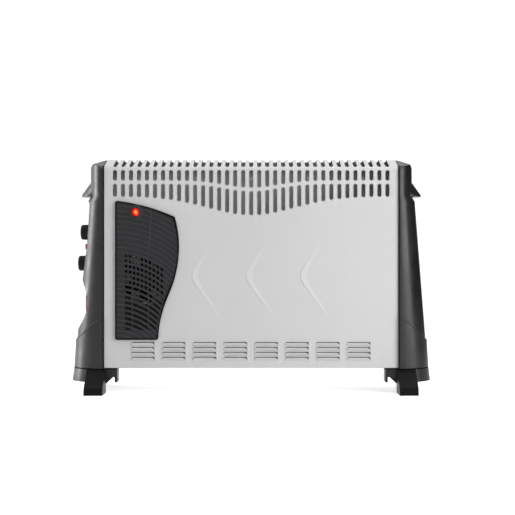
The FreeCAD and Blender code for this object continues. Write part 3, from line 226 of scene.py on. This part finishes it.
def panel_finish(name, pale, deep):
    """Semi-gloss powder coat outside, thin grey primer on the faces that look at the casing's core; the
    primer's grey also serves as painted shade for the dim inside.
    """
    core = (0, 0, 0.25)
    without_x = (0, 1, 1)
    coat_end, primer_and_shade_start = -0.008, -0.02
    mat = surface(name, grey(deep), grey(pale), rough=(0.34, 0.42), grain=700, bump=0.05,
                  blotch=5, shine=0.4)
    tree, shader = parts_of(mat)
    coat = colour_of(shader)
    where = add(tree, "ShaderNodeNewGeometry")
    away = add(tree, "ShaderNodeVectorMath", operation="SUBTRACT")
    away.inputs[1].default_value = core
    tree.links.new(where.outputs["Position"], away.inputs[0])
    cross = add(tree, "ShaderNodeVectorMath", operation="MULTIPLY")
    cross.inputs[1].default_value = without_x
    tree.links.new(away.outputs["Vector"], cross.inputs[0])
    facing = add(tree, "ShaderNodeVectorMath", operation="DOT_PRODUCT")
    tree.links.new(cross.outputs["Vector"], facing.inputs[0])
    tree.links.new(where.outputs["Normal"], facing.inputs[1])
    inside = along(tree, facing.outputs["Value"], coat_end, primer_and_shade_start, 0.0, 1.0)
    # Grey primer inside, its tone set dark enough to also be painted shade for the casing's dim core.
    primer_and_shade = drift(tree, noise(tree, scale=40, detail=3), grey(0.43), grey(0.50))
    tree.links.new(laid_over(tree, inside, coat, primer_and_shade), shader.inputs["Base Color"])
    return mat


def grille_finish():
    """Grained charcoal plastic, paler on the tops of the ribs from wear and painted highlight, with painted
    shade as a dark border along the rim.
    """
    rib_foot, rib_top = 0.0008, 0.0005
    shadow_border_foot, shadow_border_top = 0.0002, 0.0001
    boss_edge, boss_end, boss_share = 0.0125, 0.0130, 0.2
    plain_shine, shadow_border_shine, shadow_border_grey = 0.2, 0.03, grey(0.002)
    mat = surface("grille_plastic", (0.015, 0.0155, 0.0175), (0.021, 0.0215, 0.024),
                  rough=(0.42, 0.52), grain=1600, bump=0.15, blotch=10, shine=plain_shine)
    tree, shader = parts_of(mat)
    plain = colour_of(shader)
    place = own_place(tree)
    depth = own_axes(tree, place)["Y"]
    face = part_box("fan_grille")[0].y
    # Rib tops paler: partly wear, partly painted highlight where the ribs catch the light.
    wear_and_sheen = noise(tree, scale=120, detail=3)
    worn_and_lit = drift(tree, wear_and_sheen, (0.033, 0.034, 0.037), (0.046, 0.047, 0.051))
    on_ribs = along(tree, depth, face + rib_foot, face + rib_top, 0.0, 1.0)
    ribs = laid_over(tree, on_ribs, plain, worn_and_lit)
    from_lamp = add(tree, "ShaderNodeVectorMath", operation="DISTANCE")
    from_lamp.inputs[1].default_value = middle_of("indicator_lens")
    tree.links.new(place, from_lamp.inputs[0])
    off_boss = along(tree, from_lamp.outputs["Value"], boss_edge, boss_end, boss_share, 1.0)
    # Painted shade: the front of the rim goes near black and loses its shine, a dark edge line everywhere
    # but at the lamp's boss.
    on_top = along(tree, depth, face + shadow_border_foot, face + shadow_border_top, 0.0, 1.0)
    shadow_border = joined(tree, "MULTIPLY", on_top, off_boss)
    tree.links.new(laid_over(tree, shadow_border, ribs, shadow_border_grey), shader.inputs["Base Color"])
    shine = along(tree, shadow_border, 0.0, 1.0, plain_shine, shadow_border_shine)
    tree.links.new(shine, shader.inputs["Specular IOR Level"])
    return mat


SATIN_SHINE = 0.36


def satin(name, low, high):
    """The moulding of the caps and feet, its gloss uneven over a few centimetres."""
    return surface(name, grey(low), grey(high), rough=(0.30, 0.44), grain=1600, bump=0.2,
                   blotch=8, patch=45)


def cap_finish():
    """Satin black moulding with a painted shadow line, made by taking away the shine, along the edge that
    meets the casing.
    """
    groove, shadow_line_end, shadow_line_shine = 0.2400, 0.2412, 0.02
    mat = satin("black_plastic", low=0.006, high=0.009)
    tree, shader = parts_of(mat)
    # Painted shade: almost no shine in a narrow band next to the casing, a dark line where no groove is
    # modelled.
    out = joined(tree, "ABSOLUTE", own_axes(tree, own_place(tree))["X"])
    shine = along(tree, out, groove, shadow_line_end, shadow_line_shine, SATIN_SHINE)
    tree.links.new(shine, shader.inputs["Specular IOR Level"])
    return mat


def foot_finish():
    """The same moulding on the feet, with a dark joint along the upper edge and duller toes."""
    toe_start, toe_end, toe_shine = 0.050, 0.060, 0.06
    joint_foot, joint_edge = 0.0022, 0.0016
    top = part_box("left_foot")[1].z
    mat = satin("foot_plastic", low=0.005, high=0.007)
    tree, shader = parts_of(mat)
    axes = own_axes(tree, own_place(tree))
    out = joined(tree, "ABSOLUTE", axes["Y"])
    toe = along(tree, out, toe_start, toe_end, SATIN_SHINE, toe_shine)
    joint = along(tree, axes["Z"], top - joint_foot, top - joint_edge, 1.0, 0.0)
    tree.links.new(joined(tree, "MULTIPLY", toe, joint), shader.inputs["Specular IOR Level"])
    return mat


FINISH = {
    "white_paint": panel_finish("white_paint", pale=0.591, deep=0.566),
    "galvanised_steel": surface(
        "galvanised_steel", grey(0.42), grey(0.58), rough=(0.35, 0.5), grain=300, bump=0.05,
        metallic=1.0, blotch=90),
    "black_plastic": cap_finish(),
    "grille_plastic": grille_finish(),
    "knob_plastic": surface(
        "knob_plastic", grey(0.005), grey(0.008), rough=(0.32, 0.42), grain=1500, bump=0.08,
        blotch=30, shine=0.14),
    "red_lens": lamp_lens(),
    "red_plastic": surface(
        "red_plastic", (0.5, 0.012, 0.012), (0.6, 0.018, 0.016), rough=(0.25, 0.34), grain=1200, bump=0.06,
        blotch=60),
    "white_plastic": surface(
        "white_plastic", (0.55, 0.55, 0.535), (0.60, 0.60, 0.585), rough=(0.35, 0.45), grain=1400, bump=0.08,
        blotch=40, shine=0.3),
    "switch_plastic": surface(
        "switch_plastic", grey(0.05), grey(0.07), rough=(0.45, 0.55), grain=1200, bump=0.12,
        blotch=40),
    "zinc_steel": surface(
        "zinc_steel", (0.55, 0.55, 0.52), (0.66, 0.66, 0.63), rough=(0.25, 0.38), grain=900, bump=0.05,
        metallic=1.0, blotch=60),
    "lamination_steel": surface(
        "lamination_steel", grey(0.16), grey(0.24), rough=(0.4, 0.55), grain=600, bump=0.2,
        metallic=0.9, blotch=60, stretch=(1, 8, 1)),
    "copper_winding": surface(
        "copper_winding", (0.52, 0.2, 0.08), (0.66, 0.29, 0.13), rough=(0.25, 0.4), grain=500, bump=0.4,
        metallic=0.9, blotch=200, stretch=(1, 1, 8)),
    "fin_aluminium": surface(
        "fin_aluminium", grey(0.55), grey(0.68), rough=(0.3, 0.42), grain=300, bump=0.08,
        metallic=1.0, blotch=40, stretch=(0.05, 4, 4)),
    "ceramic": surface(
        "ceramic", (0.66, 0.63, 0.56), (0.74, 0.71, 0.65), rough=(0.4, 0.55), grain=900, bump=0.12,
        blotch=50),
}
for entry in frame["record"]["subparts"]:
    thing = nodes[entry["node"]]
    thing.data.materials.clear()
    thing.data.materials.append(FINISH[entry["material_slot"]])

fan_plastic = surface("fan_plastic", grey(0.014), grey(0.018), rough=(0.45, 0.55), grain=900, bump=0.1,
                      blotch=40, shine=0.08)
bezel_plastic = surface("bezel_plastic", grey(0.016), grey(0.022), rough=(0.36, 0.46), grain=1600, bump=0.1,
                        blotch=40, shine=0.25)
foot_plastic = foot_finish()
OWN_FINISH = {
    "left_foot": foot_plastic,
    "right_foot": foot_plastic,
    "fan_impeller": fan_plastic,
    "fan_shroud": fan_plastic,
    "indicator_bezel": bezel_plastic,
}
for name, finish in OWN_FINISH.items():
    nodes[name].data.materials[0] = finish

# Pressed and moulded forms

FRONT = -0.055
CHEVRONS = [-0.0963 + 0.0882 * i for i in range(3)]
CHEVRON_POINT = 0.1897
CHEVRON_FALL = 0.0749
CHEVRON_RISE = 0.0533
SLIT_TOPS = [0.0584 + 0.008 * i for i in range(4)]
SLIT_CLOSE = 0.0002
SLIT_MIDDLES = [-0.175 + 0.05 * i for i in range(8)]
SLIT_HALF = 0.0175
SLIT_GAP = 0.0012
HOOD = 0.0024
CAP_ROOT = 0.2385
CAP_REACH = 0.048
CAP_HALF_DEPTH = 0.0585


def piece_from(grid, name, body, material):
    mesh = bpy.data.meshes.new(name)
    grid.to_mesh(mesh)
    grid.free()
    mesh.materials.append(material)
    thing = bpy.data.objects.new(name, mesh)
    scene.collection.objects.link(thing)
    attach(thing, body)


def skin(grid, rows):
    """Faces between rows of points of equal length."""
    rows = [[grid.verts.new(point) for point in row] for row in rows]
    for one, two in zip(rows, rows[1:]):
        for i in range(len(one) - 1):
            grid.faces.new((one[i], one[i + 1], two[i + 1], two[i])).smooth = True


def chevron_rows(point_x):
    """Across a chevron at each height: outer foot, crest and inner foot; both tips run out thin."""
    bend, band, proud, sunk = 0.012, 0.0115, 0.0007, 0.0001
    lean_up, lean_down = 0.779, 0.814
    crest, thinnest, steps = 0.03, 0.004, 48
    rows = []
    for i in range(steps + 1):
        rise = -CHEVRON_FALL + (CHEVRON_FALL + CHEVRON_RISE) * i / steps
        reach, lean = (CHEVRON_RISE, lean_up) if rise > 0 else (CHEVRON_FALL, lean_down)
        left = max(1 - abs(rise) / reach, thinnest)
        x = point_x + lean * (math.hypot(rise, bend) - bend)
        z = CHEVRON_POINT + rise
        width = band * left ** 0.5
        rows.append([
            Vector((x, FRONT + sunk, z)),
            Vector((x + crest * width, FRONT - proud * left, z)),
            Vector((x + width, FRONT + sunk, z)),
        ])
    return rows


def front_sheet():
    """The front panel with slightly lower louvre slits, and its narrow chevrons sunk in the sheet."""
    flat, sunk, sheet, same, over = 0.00001, 0.0004, 0.001, 0.0002, 0.01
    above_slits = SLIT_TOPS[-1] + over
    mesh = nodes["front_panel"].data.copy()
    points = mesh.vertices
    pressed = set()
    for face in mesh.polygons:
        corners = [points[i].co for i in face.vertices]
        if any(corner.y < FRONT - flat and corner.z > above_slits for corner in corners):
            pressed.update(face.vertices)
    for i in pressed:
        points[i].co.y = FRONT + sunk
    for point in points:
        if point.co.y < FRONT + sheet and min(abs(point.co.z - top) for top in SLIT_TOPS) < same:
            point.co.z -= SLIT_CLOSE
    thing = bpy.data.objects.new("front_sheet", mesh)
    scene.collection.objects.link(thing)
    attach(thing, "casing")
    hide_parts("front_panel")


def front_chevrons():
    """Broad chevrons, each a facet that leans to the right, on flat ground level with the sheet; the facets
    have a paler copy of the paint as painted light.
    """
    under, left, right, below, above = 0.00002, 0.003, 0.066, 0.008, 0.004
    level = FRONT + under
    heights = (CHEVRON_POINT - CHEVRON_FALL - below, CHEVRON_POINT + CHEVRON_RISE + above)
    facets = bmesh.new()
    ground = bmesh.new()
    for x in CHEVRONS:
        rows = chevron_rows(x)
        skin(facets, [row[:2] for row in rows])
        skin(facets, [row[1:] for row in rows])
        skin(ground, [[Vector((side, level, z)) for side in (x - left, x + right)] for z in heights])
    # Painted light: the facets get a paler copy of the panel paint, so they look lit.
    lit_paint = panel_finish("chevron_painted_light", pale=0.622, deep=0.598)
    piece_from(facets, "front_chevrons", "casing", lit_paint)
    piece_from(ground, "front_chevron_ground", "casing", FINISH["white_paint"])


def louvre_mouths():
    """Painted shade at each louvre: a dark strip across the slit and a dark hook down over its right end,
    standing in for the shade in the mouth.
    """
    face_shade_hook = ((-0.0036, -0.0002), (-0.0002, -0.0001), (0.0003, -0.0010), (0.0011, -0.0026),
                 (0.0001, -0.0026), (-0.0012, -0.0013))
    wall_shade_hook = ((0.0002, -0.0003), (0.0008, -0.0003), (0.0019, -0.0026), (0.0013, -0.0026))
    tuck, sunk, overlap, clear, before = 0.0001, 0.0003, 0.0008, 0.00015, 0.1
    front, back = FRONT - HOOD + tuck, FRONT + sunk
    half_back = SLIT_HALF + overlap
    inward = Vector((0, 1, 0))
    shell = shell_of("front_panel")
    grid = bmesh.new()
    for middle in SLIT_MIDDLES:
        for top in SLIT_TOPS:
            lip = top - SLIT_GAP
            skin(grid, [
                [Vector((middle + end * SLIT_HALF, front, lip)) for end in (-1, 1)],
                [Vector((middle + end * half_back, back, top)) for end in (-1, 1)],
            ])
            for shade_hook in (face_shade_hook, wall_shade_hook):
                points = []
                for across, down in shade_hook:
                    start = Vector((middle + SLIT_HALF + across, FRONT - before, lip + down))
                    seat = shell.ray_cast(start, inward)[0]
                    points.append(grid.verts.new(seat - inward * clear))
                grid.faces.new(points)
    # Painted shade: near-black strips set where the louvre mouths hold only shade.
    shade_material = surface("louvre_shade_paint", grey(0.020), grey(0.028), rough=(0.5, 0.6), grain=900, bump=0.1,
                   blotch=40, shine=0.1)
    piece_from(grid, "louvre_mouths", "casing", shade_material)


def boot_line():
    """Just under the edge of the boot's smile-shaped step: high at the casing, low at the side."""
    radius, middle, under = 0.0634, 0.1459, 0.0010
    margin, steps = 0.07, 60
    path = []
    for i in range(steps + 1):
        angle = margin + (math.pi - 2 * margin) * i / steps
        drop = math.sqrt(radius ** 2 - (CAP_HALF_DEPTH * math.cos(angle)) ** 2)
        path.append((angle, middle - drop - under))
    return path


def boot_bead(node, side):
    """A narrow bead moulded on an end cap along the edge of its boot."""
    half, proud, sunk, crest = 0.0010, 0.0008, 0.0003, 0.4
    outside = 4
    shell = shell_of(node)
    points, outs = [], []
    for angle, z in boot_line():
        c, s = math.cos(angle), math.sin(angle)
        ray = Vector((side * CAP_REACH * s, -CAP_HALF_DEPTH * c, 0))
        start = Vector((side * CAP_ROOT, 0, z)) + ray * outside
        points.append(shell.ray_cast(start, -ray)[0])
        outs.append(Vector((side * s / CAP_REACH, -c / CAP_HALF_DEPTH, 0)).normalized())
    rows = []
    for i, (point, out) in enumerate(zip(points, outs)):
        course = points[min(i + 1, len(points) - 1)] - points[max(i - 1, 0)]
        across = course.cross(out).normalized() * half
        rows.append([
            point + across - out * sunk,
            point + across * crest + out * proud,
            point - across * crest + out * proud,
            point - across - out * sunk,
        ])
    grid = bmesh.new()
    skin(grid, rows)
    bmesh.ops.recalc_face_normals(grid, faces=grid.faces)
    piece_from(grid, node + "_boot_line", "casing", FINISH["black_plastic"])


front_sheet()
front_chevrons()
louvre_mouths()
boot_bead("left_end_cap", -1)
boot_bead("right_end_cap", 1)

# Printed marks and small fittings

UP = (0, 0, 1)
LEFT = (-1, 0, 0)
BACK = (0, 1, 0)
DOWN = (0, 0, -1)
FIELD_SLOPE = 0.0789
FIELD_TOP = 0.310
FIELD_TOP_X = -0.26066
THERMOSTAT_HEIGHT = 0.2615
MODE_HEIGHT = 0.210


def plane(origin, up, out):
    """Right, up and outward directions of a printed face, as a matrix."""
    up = Vector(up).normalized()
    out = Vector(out).normalized()
    right = up.cross(out)
    matrix = Matrix((right, up, out)).transposed().to_4x4()
    matrix.translation = Vector(origin)
    return matrix


def polar(radius, angle):
    return radius * math.cos(angle), radius * math.sin(angle)


def circle(middle, radius, count=28):
    spokes = [polar(radius, 2 * math.pi * i / count) for i in range(count)]
    return [(middle[0] + x, middle[1] + y) for x, y in spokes]


def turn(points, angle):
    c, s = math.cos(angle), math.sin(angle)
    return [(x * c - y * s, x * s + y * c) for x, y in points]


def bar(x0, x1, y0, y1):
    return [(x0, y0), (x1, y0), (x1, y1), (x0, y1)]


def swelling(radius, start, end, thin, thick, count=48):
    """The two edges of a curved wedge that grows from one end to the other."""
    outer, inner = [], []
    for i in range(count):
        share = i / (count - 1)
        angle = start + (end - start) * share
        half = (thin + (thick - thin) * share) / 2
        outer.append(polar(radius + half, angle))
        inner.append(polar(radius - half, angle))
    return outer, inner


class Print:
    """Thin raised ink: outlines filled and given a little height, all in one mesh."""

    def __init__(self, matrix, height=0.00012, sunk=0.00004):
        self.grid = bmesh.new()
        self.matrix = matrix
        self.height = height
        self.sunk = sunk

    def line(self, points, level):
        """New corners of the mesh at one level over the face."""
        return [self.grid.verts.new(self.matrix @ Vector((x, y, level))) for x, y in points]

    def strip(self, one, two, closed=False):
        """Ink between two lines of equal length, such as an arc or a ring."""
        count = len(one)
        low_a, low_b = self.line(one, -self.sunk), self.line(two, -self.sunk)
        top_a, top_b = self.line(one, self.height), self.line(two, self.height)
        for i in range(count if closed else count - 1):
            j = (i + 1) % count
            self.grid.faces.new((top_a[i], top_a[j], top_b[j], top_b[i]))
            self.grid.faces.new((low_a[i], low_a[j], top_a[j], top_a[i]))
            self.grid.faces.new((low_b[j], low_b[i], top_b[i], top_b[j]))
        if not closed:
            for i in (0, count - 1):
                self.grid.faces.new((low_a[i], low_b[i], top_b[i], top_a[i]))

    def shape(self, points):
        """A filled outline."""
        low = self.line(points, -self.sunk)
        top = self.line(points, self.height)
        self.grid.faces.new(top)
        for i in range(len(points)):
            j = (i + 1) % len(points)
            self.grid.faces.new((low[i], low[j], top[j], top[i]))

    def ring(self, middle, radius, width):
        self.strip(circle(middle, radius + width / 2), circle(middle, radius - width / 2), True)

    def words(self, text, middle, size, angle=0.0):
        """Plain figures, filled from the outline font."""
        curve = bpy.data.curves.new("figures", "FONT")
        curve.body = text
        curve.size = size
        curve.align_x = "CENTER"
        curve.align_y = "CENTER"
        curve.extrude = (self.height + self.sunk) / 2
        curve.resolution_u = 3
        thing = bpy.data.objects.new("figures", curve)
        mesh = thing.to_mesh()
        place = Matrix.Translation((*middle, (self.height - self.sunk) / 2))
        mesh.transform(self.matrix @ place @ Matrix.Rotation(angle, 4, "Z"))
        self.grid.from_mesh(mesh)
        thing.to_mesh_clear()
        bpy.data.objects.remove(thing)
        bpy.data.curves.remove(curve)

    def done(self, name, body, material):
        bmesh.ops.recalc_face_normals(self.grid, faces=self.grid.faces)
        piece_from(self.grid, name, body, material)


def ink_finish(name, low, high, rough):
    return surface(name, low, high, rough, grain=1800, bump=0.1, blotch=400)


white_ink = ink_finish("white_ink", grey(0.66), grey(0.74), (0.45, 0.6))
dark_ink = ink_finish("dark_ink", grey(0.018), grey(0.026), (0.5, 0.65))
red_ink = ink_finish("red_ink", (0.55, 0.02, 0.015), (0.62, 0.03, 0.02), (0.45, 0.6))


def control_face(z):
    """The sloping floor of the control field, at the height of one control."""
    x = FIELD_TOP_X - FIELD_SLOPE * (FIELD_TOP - z)
    return plane((x, 0, z), (FIELD_SLOPE, 0, 1), (-1, 0, FIELD_SLOPE))


def left_face(node, sunk=0.0):
    """The left face of a control's box, or a face a little under it."""
    middle = middle_of(node)
    return plane((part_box(node)[0].x + sunk, middle.y, middle.z), UP, LEFT)


def thermostat_marks():
    """A wedge that swells with the heat, and dots around it that grow."""
    start, end = math.radians(225), math.radians(-45)
    wedge, thin, thick = 0.0178, 0.0003, 0.0022
    dots, dot_ring, first_dot, growth = 7, 0.0206, 0.00045, 0.00007
    ink = Print(control_face(THERMOSTAT_HEIGHT))
    ink.strip(*swelling(wedge, start, end, thin, thick))
    for i in range(dots):
        angle = start + (end - start) * i / (dots - 1)
        ink.shape(circle(polar(dot_ring, angle), first_dot + growth * i, count=16))
    ink.done("thermostat_scale", "casing", white_ink)


def mode_marks():
    """A figure and a tick for each setting of the heat."""
    first, step = 157.5, 45
    figure_ring, figure_size = 0.0188, 0.0056
    tick = bar(0.0146, 0.0158, -0.0003, 0.0003)
    ink = Print(control_face(MODE_HEIGHT))
    for i, figure in enumerate("0123"):
        angle = math.radians(first - step * i)
        ink.words(figure, polar(figure_ring, angle), figure_size)
        ink.shape(turn(tick, angle))
    ink.done("mode_scale", "casing", white_ink)


def knob_line(node, body, angle):
    """White line laid in the knob's pointer groove."""
    groove, height = 0.00035, 0.0002
    line = bar(0.0050, 0.0110, -0.0008, 0.0008)
    ink = Print(left_face(node, groove), height, groove)
    ink.shape(turn(line, math.radians(angle)))
    ink.done(node + "_line", body, white_ink)


def rocker_marks():
    """A bar on one wing of the rocker and a ring on the other."""
    valley, rise, half, out = -0.27487, 0.0014, 0.00562, 0.0030
    on_bar = bar(-0.00035, 0.00035, -0.0018, 0.0018)
    off_radius, off_width = 0.0015, 0.0006
    lean = rise / half
    z = middle_of("fan_rocker").z
    for name, side in (("on", -1), ("off", 1)):
        ink = Print(plane((valley - lean * out, side * out, z), UP, (-1, -side * lean, 0)))
        if name == "on":
            ink.shape(on_bar)
        else:
            ink.ring((0, 0), off_radius, off_width)
        ink.done("rocker_mark_" + name, "rocker", white_ink)


def dial_marks():
    """The hours around the dial: a tick for each and a figure for every second one."""
    hours, inner_ring, inner_width = 24, 0.0200, 0.0003
    figure_ring, figure_size = 0.0240, 0.0050
    long_start, short_start, tick_end, tick_half = 0.0274, 0.0281, 0.0291, 0.00025
    ink = Print(left_face("timer_dial"))
    for hour in range(hours):
        angle = math.radians(90 - 360 / hours * hour)
        even = hour % 2 == 0
        tick_start = long_start if even else short_start
        ink.shape(turn(bar(tick_start, tick_end, -tick_half, tick_half), angle))
        if even:
            ink.words(str(hour or hours), polar(figure_ring, angle), figure_size, angle - math.pi / 2)
    ink.ring((0, 0), inner_ring, inner_width)
    ink.done("dial_figures", "dial", dark_ink)


def face_marks():
    """On the fixed middle of the timer: the reading arrow and the two settings of the slide."""
    reading = math.radians(45)
    pointer = [(0.0164, 0), (0.0126, 0.0021), (0.0126, -0.0021)]
    on_bar = bar(-0.0095, -0.0089, -0.0106, -0.0074)
    clock, clock_radius, clock_width = (0.0096, -0.0090), 0.0014, 0.0005
    long_hand = bar(0.0094, 0.0098, -0.0092, -0.0078)
    short_hand = bar(0.0094, 0.0107, -0.0092, -0.0088)
    ring, ring_radius, ring_width = (0, 0.0015), 0.0042, 0.0004
    ray = bar(0.0048, 0.0056, -0.0002, 0.0002)
    rays = 12
    at = left_face("timer_face")
    arrow = Print(at)
    arrow.shape(turn(pointer, reading))
    arrow.done("timer_arrow", "casing", red_ink)
    signs = Print(at)
    signs.shape(on_bar)
    signs.ring(clock, clock_radius, clock_width)
    signs.shape(long_hand)
    signs.shape(short_hand)
    signs.ring(ring, ring_radius, ring_width)
    for i in range(rays):
        signs.shape(turn(ray, 2 * math.pi * i / rays))
    signs.done("timer_signs", "casing", dark_ink)


def screw_drives():
    """Cross recesses in the heads of the screws, as dark pressed crosses and rings: painted shade of the
    recesses and inside the head's edge.
    """
    head, rim, rim_width = 0.0036, 0.0030, 0.00025
    arm, half = 0.0021, 0.0005
    height, sunk = 0.00006, 0.00012
    first_turn, next_turn = 0.4, 1.1
    rear_row = 5
    quarter = [(arm, -half), (arm, half), (half, half)]
    cross = [point for i in range(4) for point in turn(quarter, i * math.pi / 2)]
    seats = []
    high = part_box("panel_screws")[1]
    reach = high.x - head
    for i in range(rear_row):
        x = -reach + 2 * reach * i / (rear_row - 1)
        seats.append(plane((x, high.y, middle_of("panel_screws").z), UP, BACK))
    low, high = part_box("foot_screws")
    for x in (low.x + head, high.x - head):
        for y in (low.y + head, high.y - head):
            seats.append(plane((x, y, low.z), BACK, DOWN))
    # Painted shade: the crosses and rings are dark ink standing in for the shade in the recesses.
    ink = Print(seats[0], height, sunk)
    for i, seat in enumerate(seats):
        ink.matrix = seat @ Matrix.Rotation(first_turn + next_turn * i, 4, "Z")
        ink.shape(cross)
        ink.ring((0, 0), rim, rim_width)
    ink.done("screw_drives", "casing", dark_ink)


thermostat_marks()
mode_marks()
knob_line("thermostat_knob", "thermostat", 225)
knob_line("mode_knob", "mode", 157.5)
rocker_marks()
dial_marks()
face_marks()
screw_drives()

# Studio

def seen_directly(tree):
    """One for a ray that shows the background or its mirror image, zero for light on the object."""
    path = add(tree, "ShaderNodeLightPath").outputs
    first = joined(tree, "MAXIMUM", path["Is Camera Ray"], path["Is Glossy Ray"])
    return joined(tree, "MAXIMUM", first, path["Is Transmission Ray"])


def backdrop(name, colour, glow):
    """Pale matt paper that looks white and still takes the object's shadow."""
    cloud = 0.01
    mat, tree, shader = new_material(name)
    paper = drift(tree, noise(tree, scale=2, detail=2), grey(colour), grey(colour + cloud))
    tree.links.new(paper, shader.inputs["Base Color"])
    shader.inputs["Roughness"].default_value = 0.9
    shader.inputs["Specular IOR Level"].default_value = 0.1
    shader.inputs["Emission Color"].default_value = (1, 1, 1, 1)
    lift = along(tree, seen_directly(tree), 0.0, 1.0, 0.0, glow)
    tree.links.new(lift, shader.inputs["Emission Strength"])
    return mat


def sky(strength):
    """Even white surroundings: full white where they show, lower as light."""
    world = bpy.data.worlds.new("studio")
    world.use_nodes = True
    tree = world.node_tree
    surround = tree.nodes["Background"]
    surround.inputs["Color"].default_value = (1, 1, 1, 1)
    level = along(tree, seen_directly(tree), 0.0, 1.0, strength, 1.0)
    tree.links.new(level, surround.inputs["Strength"])
    scene.world = world


def staged(name, verts, faces, material):
    """A piece of the studio, from its corners and faces."""
    mesh = bpy.data.meshes.new(name)
    mesh.from_pydata(verts, [], faces)
    mesh.materials.append(material)
    thing = bpy.data.objects.new(name, mesh)
    scene.collection.objects.link(thing)
    return thing


def sweep():
    """Pale floor that curves up into a backdrop."""
    front, bend, radius, top, half_width, steps = -6.0, 2.2, 1.4, 5.0, 6, 12
    profile = [(front, 0.0)]
    for i in range(steps + 1):
        angle = math.pi / 2 * i / steps
        profile.append((bend + radius * math.sin(angle), radius - radius * math.cos(angle)))
    profile.append((bend + radius, top))
    verts = [(x, y, z) for y, z in profile for x in (-half_width, half_width)]
    faces = [(2 * i, 2 * i + 1, 2 * i + 3, 2 * i + 2) for i in range(len(profile) - 1)]
    floor = staged("floor", verts, faces, backdrop("floor", colour=0.80, glow=0.66))
    for face in floor.data.polygons:
        face.use_smooth = True


def black_card():
    """A card that only reflections see; it darkens the outer half of the right cap."""
    near, far, height = (0.80, -0.20), (1.00, 1.90), 1.4
    paper = surface("card_paper", grey(0.008), grey(0.012), rough=(0.85, 0.95), grain=60, bump=0.05,
                    shine=0.1)
    corners = [(*near, 0), (*far, 0), (*far, height), (*near, height)]
    card = staged("black_card", corners, [(0, 1, 2, 3)], paper)
    card.visible_camera = False
    card.visible_diffuse = False
    card.visible_transmission = False
    card.visible_shadow = False


def area(name, place, aim, size, power):
    data = bpy.data.lights.new(name, "AREA")
    data.shape = "RECTANGLE"
    data.size, data.size_y = size
    data.energy = power
    lamp = bpy.data.objects.new(name, data)
    lamp.location = place
    lamp.rotation_euler = (Vector(aim) - Vector(place)).to_track_quat("-Z", "Y").to_euler()
    scene.collection.objects.link(lamp)


sweep()
black_card()
area("rim_left", place=(-1.45, 0.35, 0.5), aim=(-0.27, 0, 0.2), size=(0.40, 1.3), power=20)
area("top", place=(0.1, -0.3, 2.0), aim=(0, 0, 0.2), size=(1.8, 1.2), power=13)
area("key_right", place=(1.22, -1.08, 0.70), aim=(0.15, 0, 0.2), size=(0.40, 1.2), power=11.5)
area("side_right", place=(1.75, -0.75, 0.55), aim=(0.25, 0, 0.2), size=(0.30, 1.3), power=14)
sky(strength=0.42)

optics = bpy.data.cameras.new("camera")
optics.lens = 86.2
optics.sensor_width = 36
camera = bpy.data.objects.new("camera", optics)
camera.location = (0.0102, -2.055, 0.2195)
camera.rotation_euler = (math.pi / 2, 0, 0)
scene.collection.objects.link(camera)
scene.camera = camera
scene.view_settings.view_transform = "Standard"
scene.view_settings.look = "None"
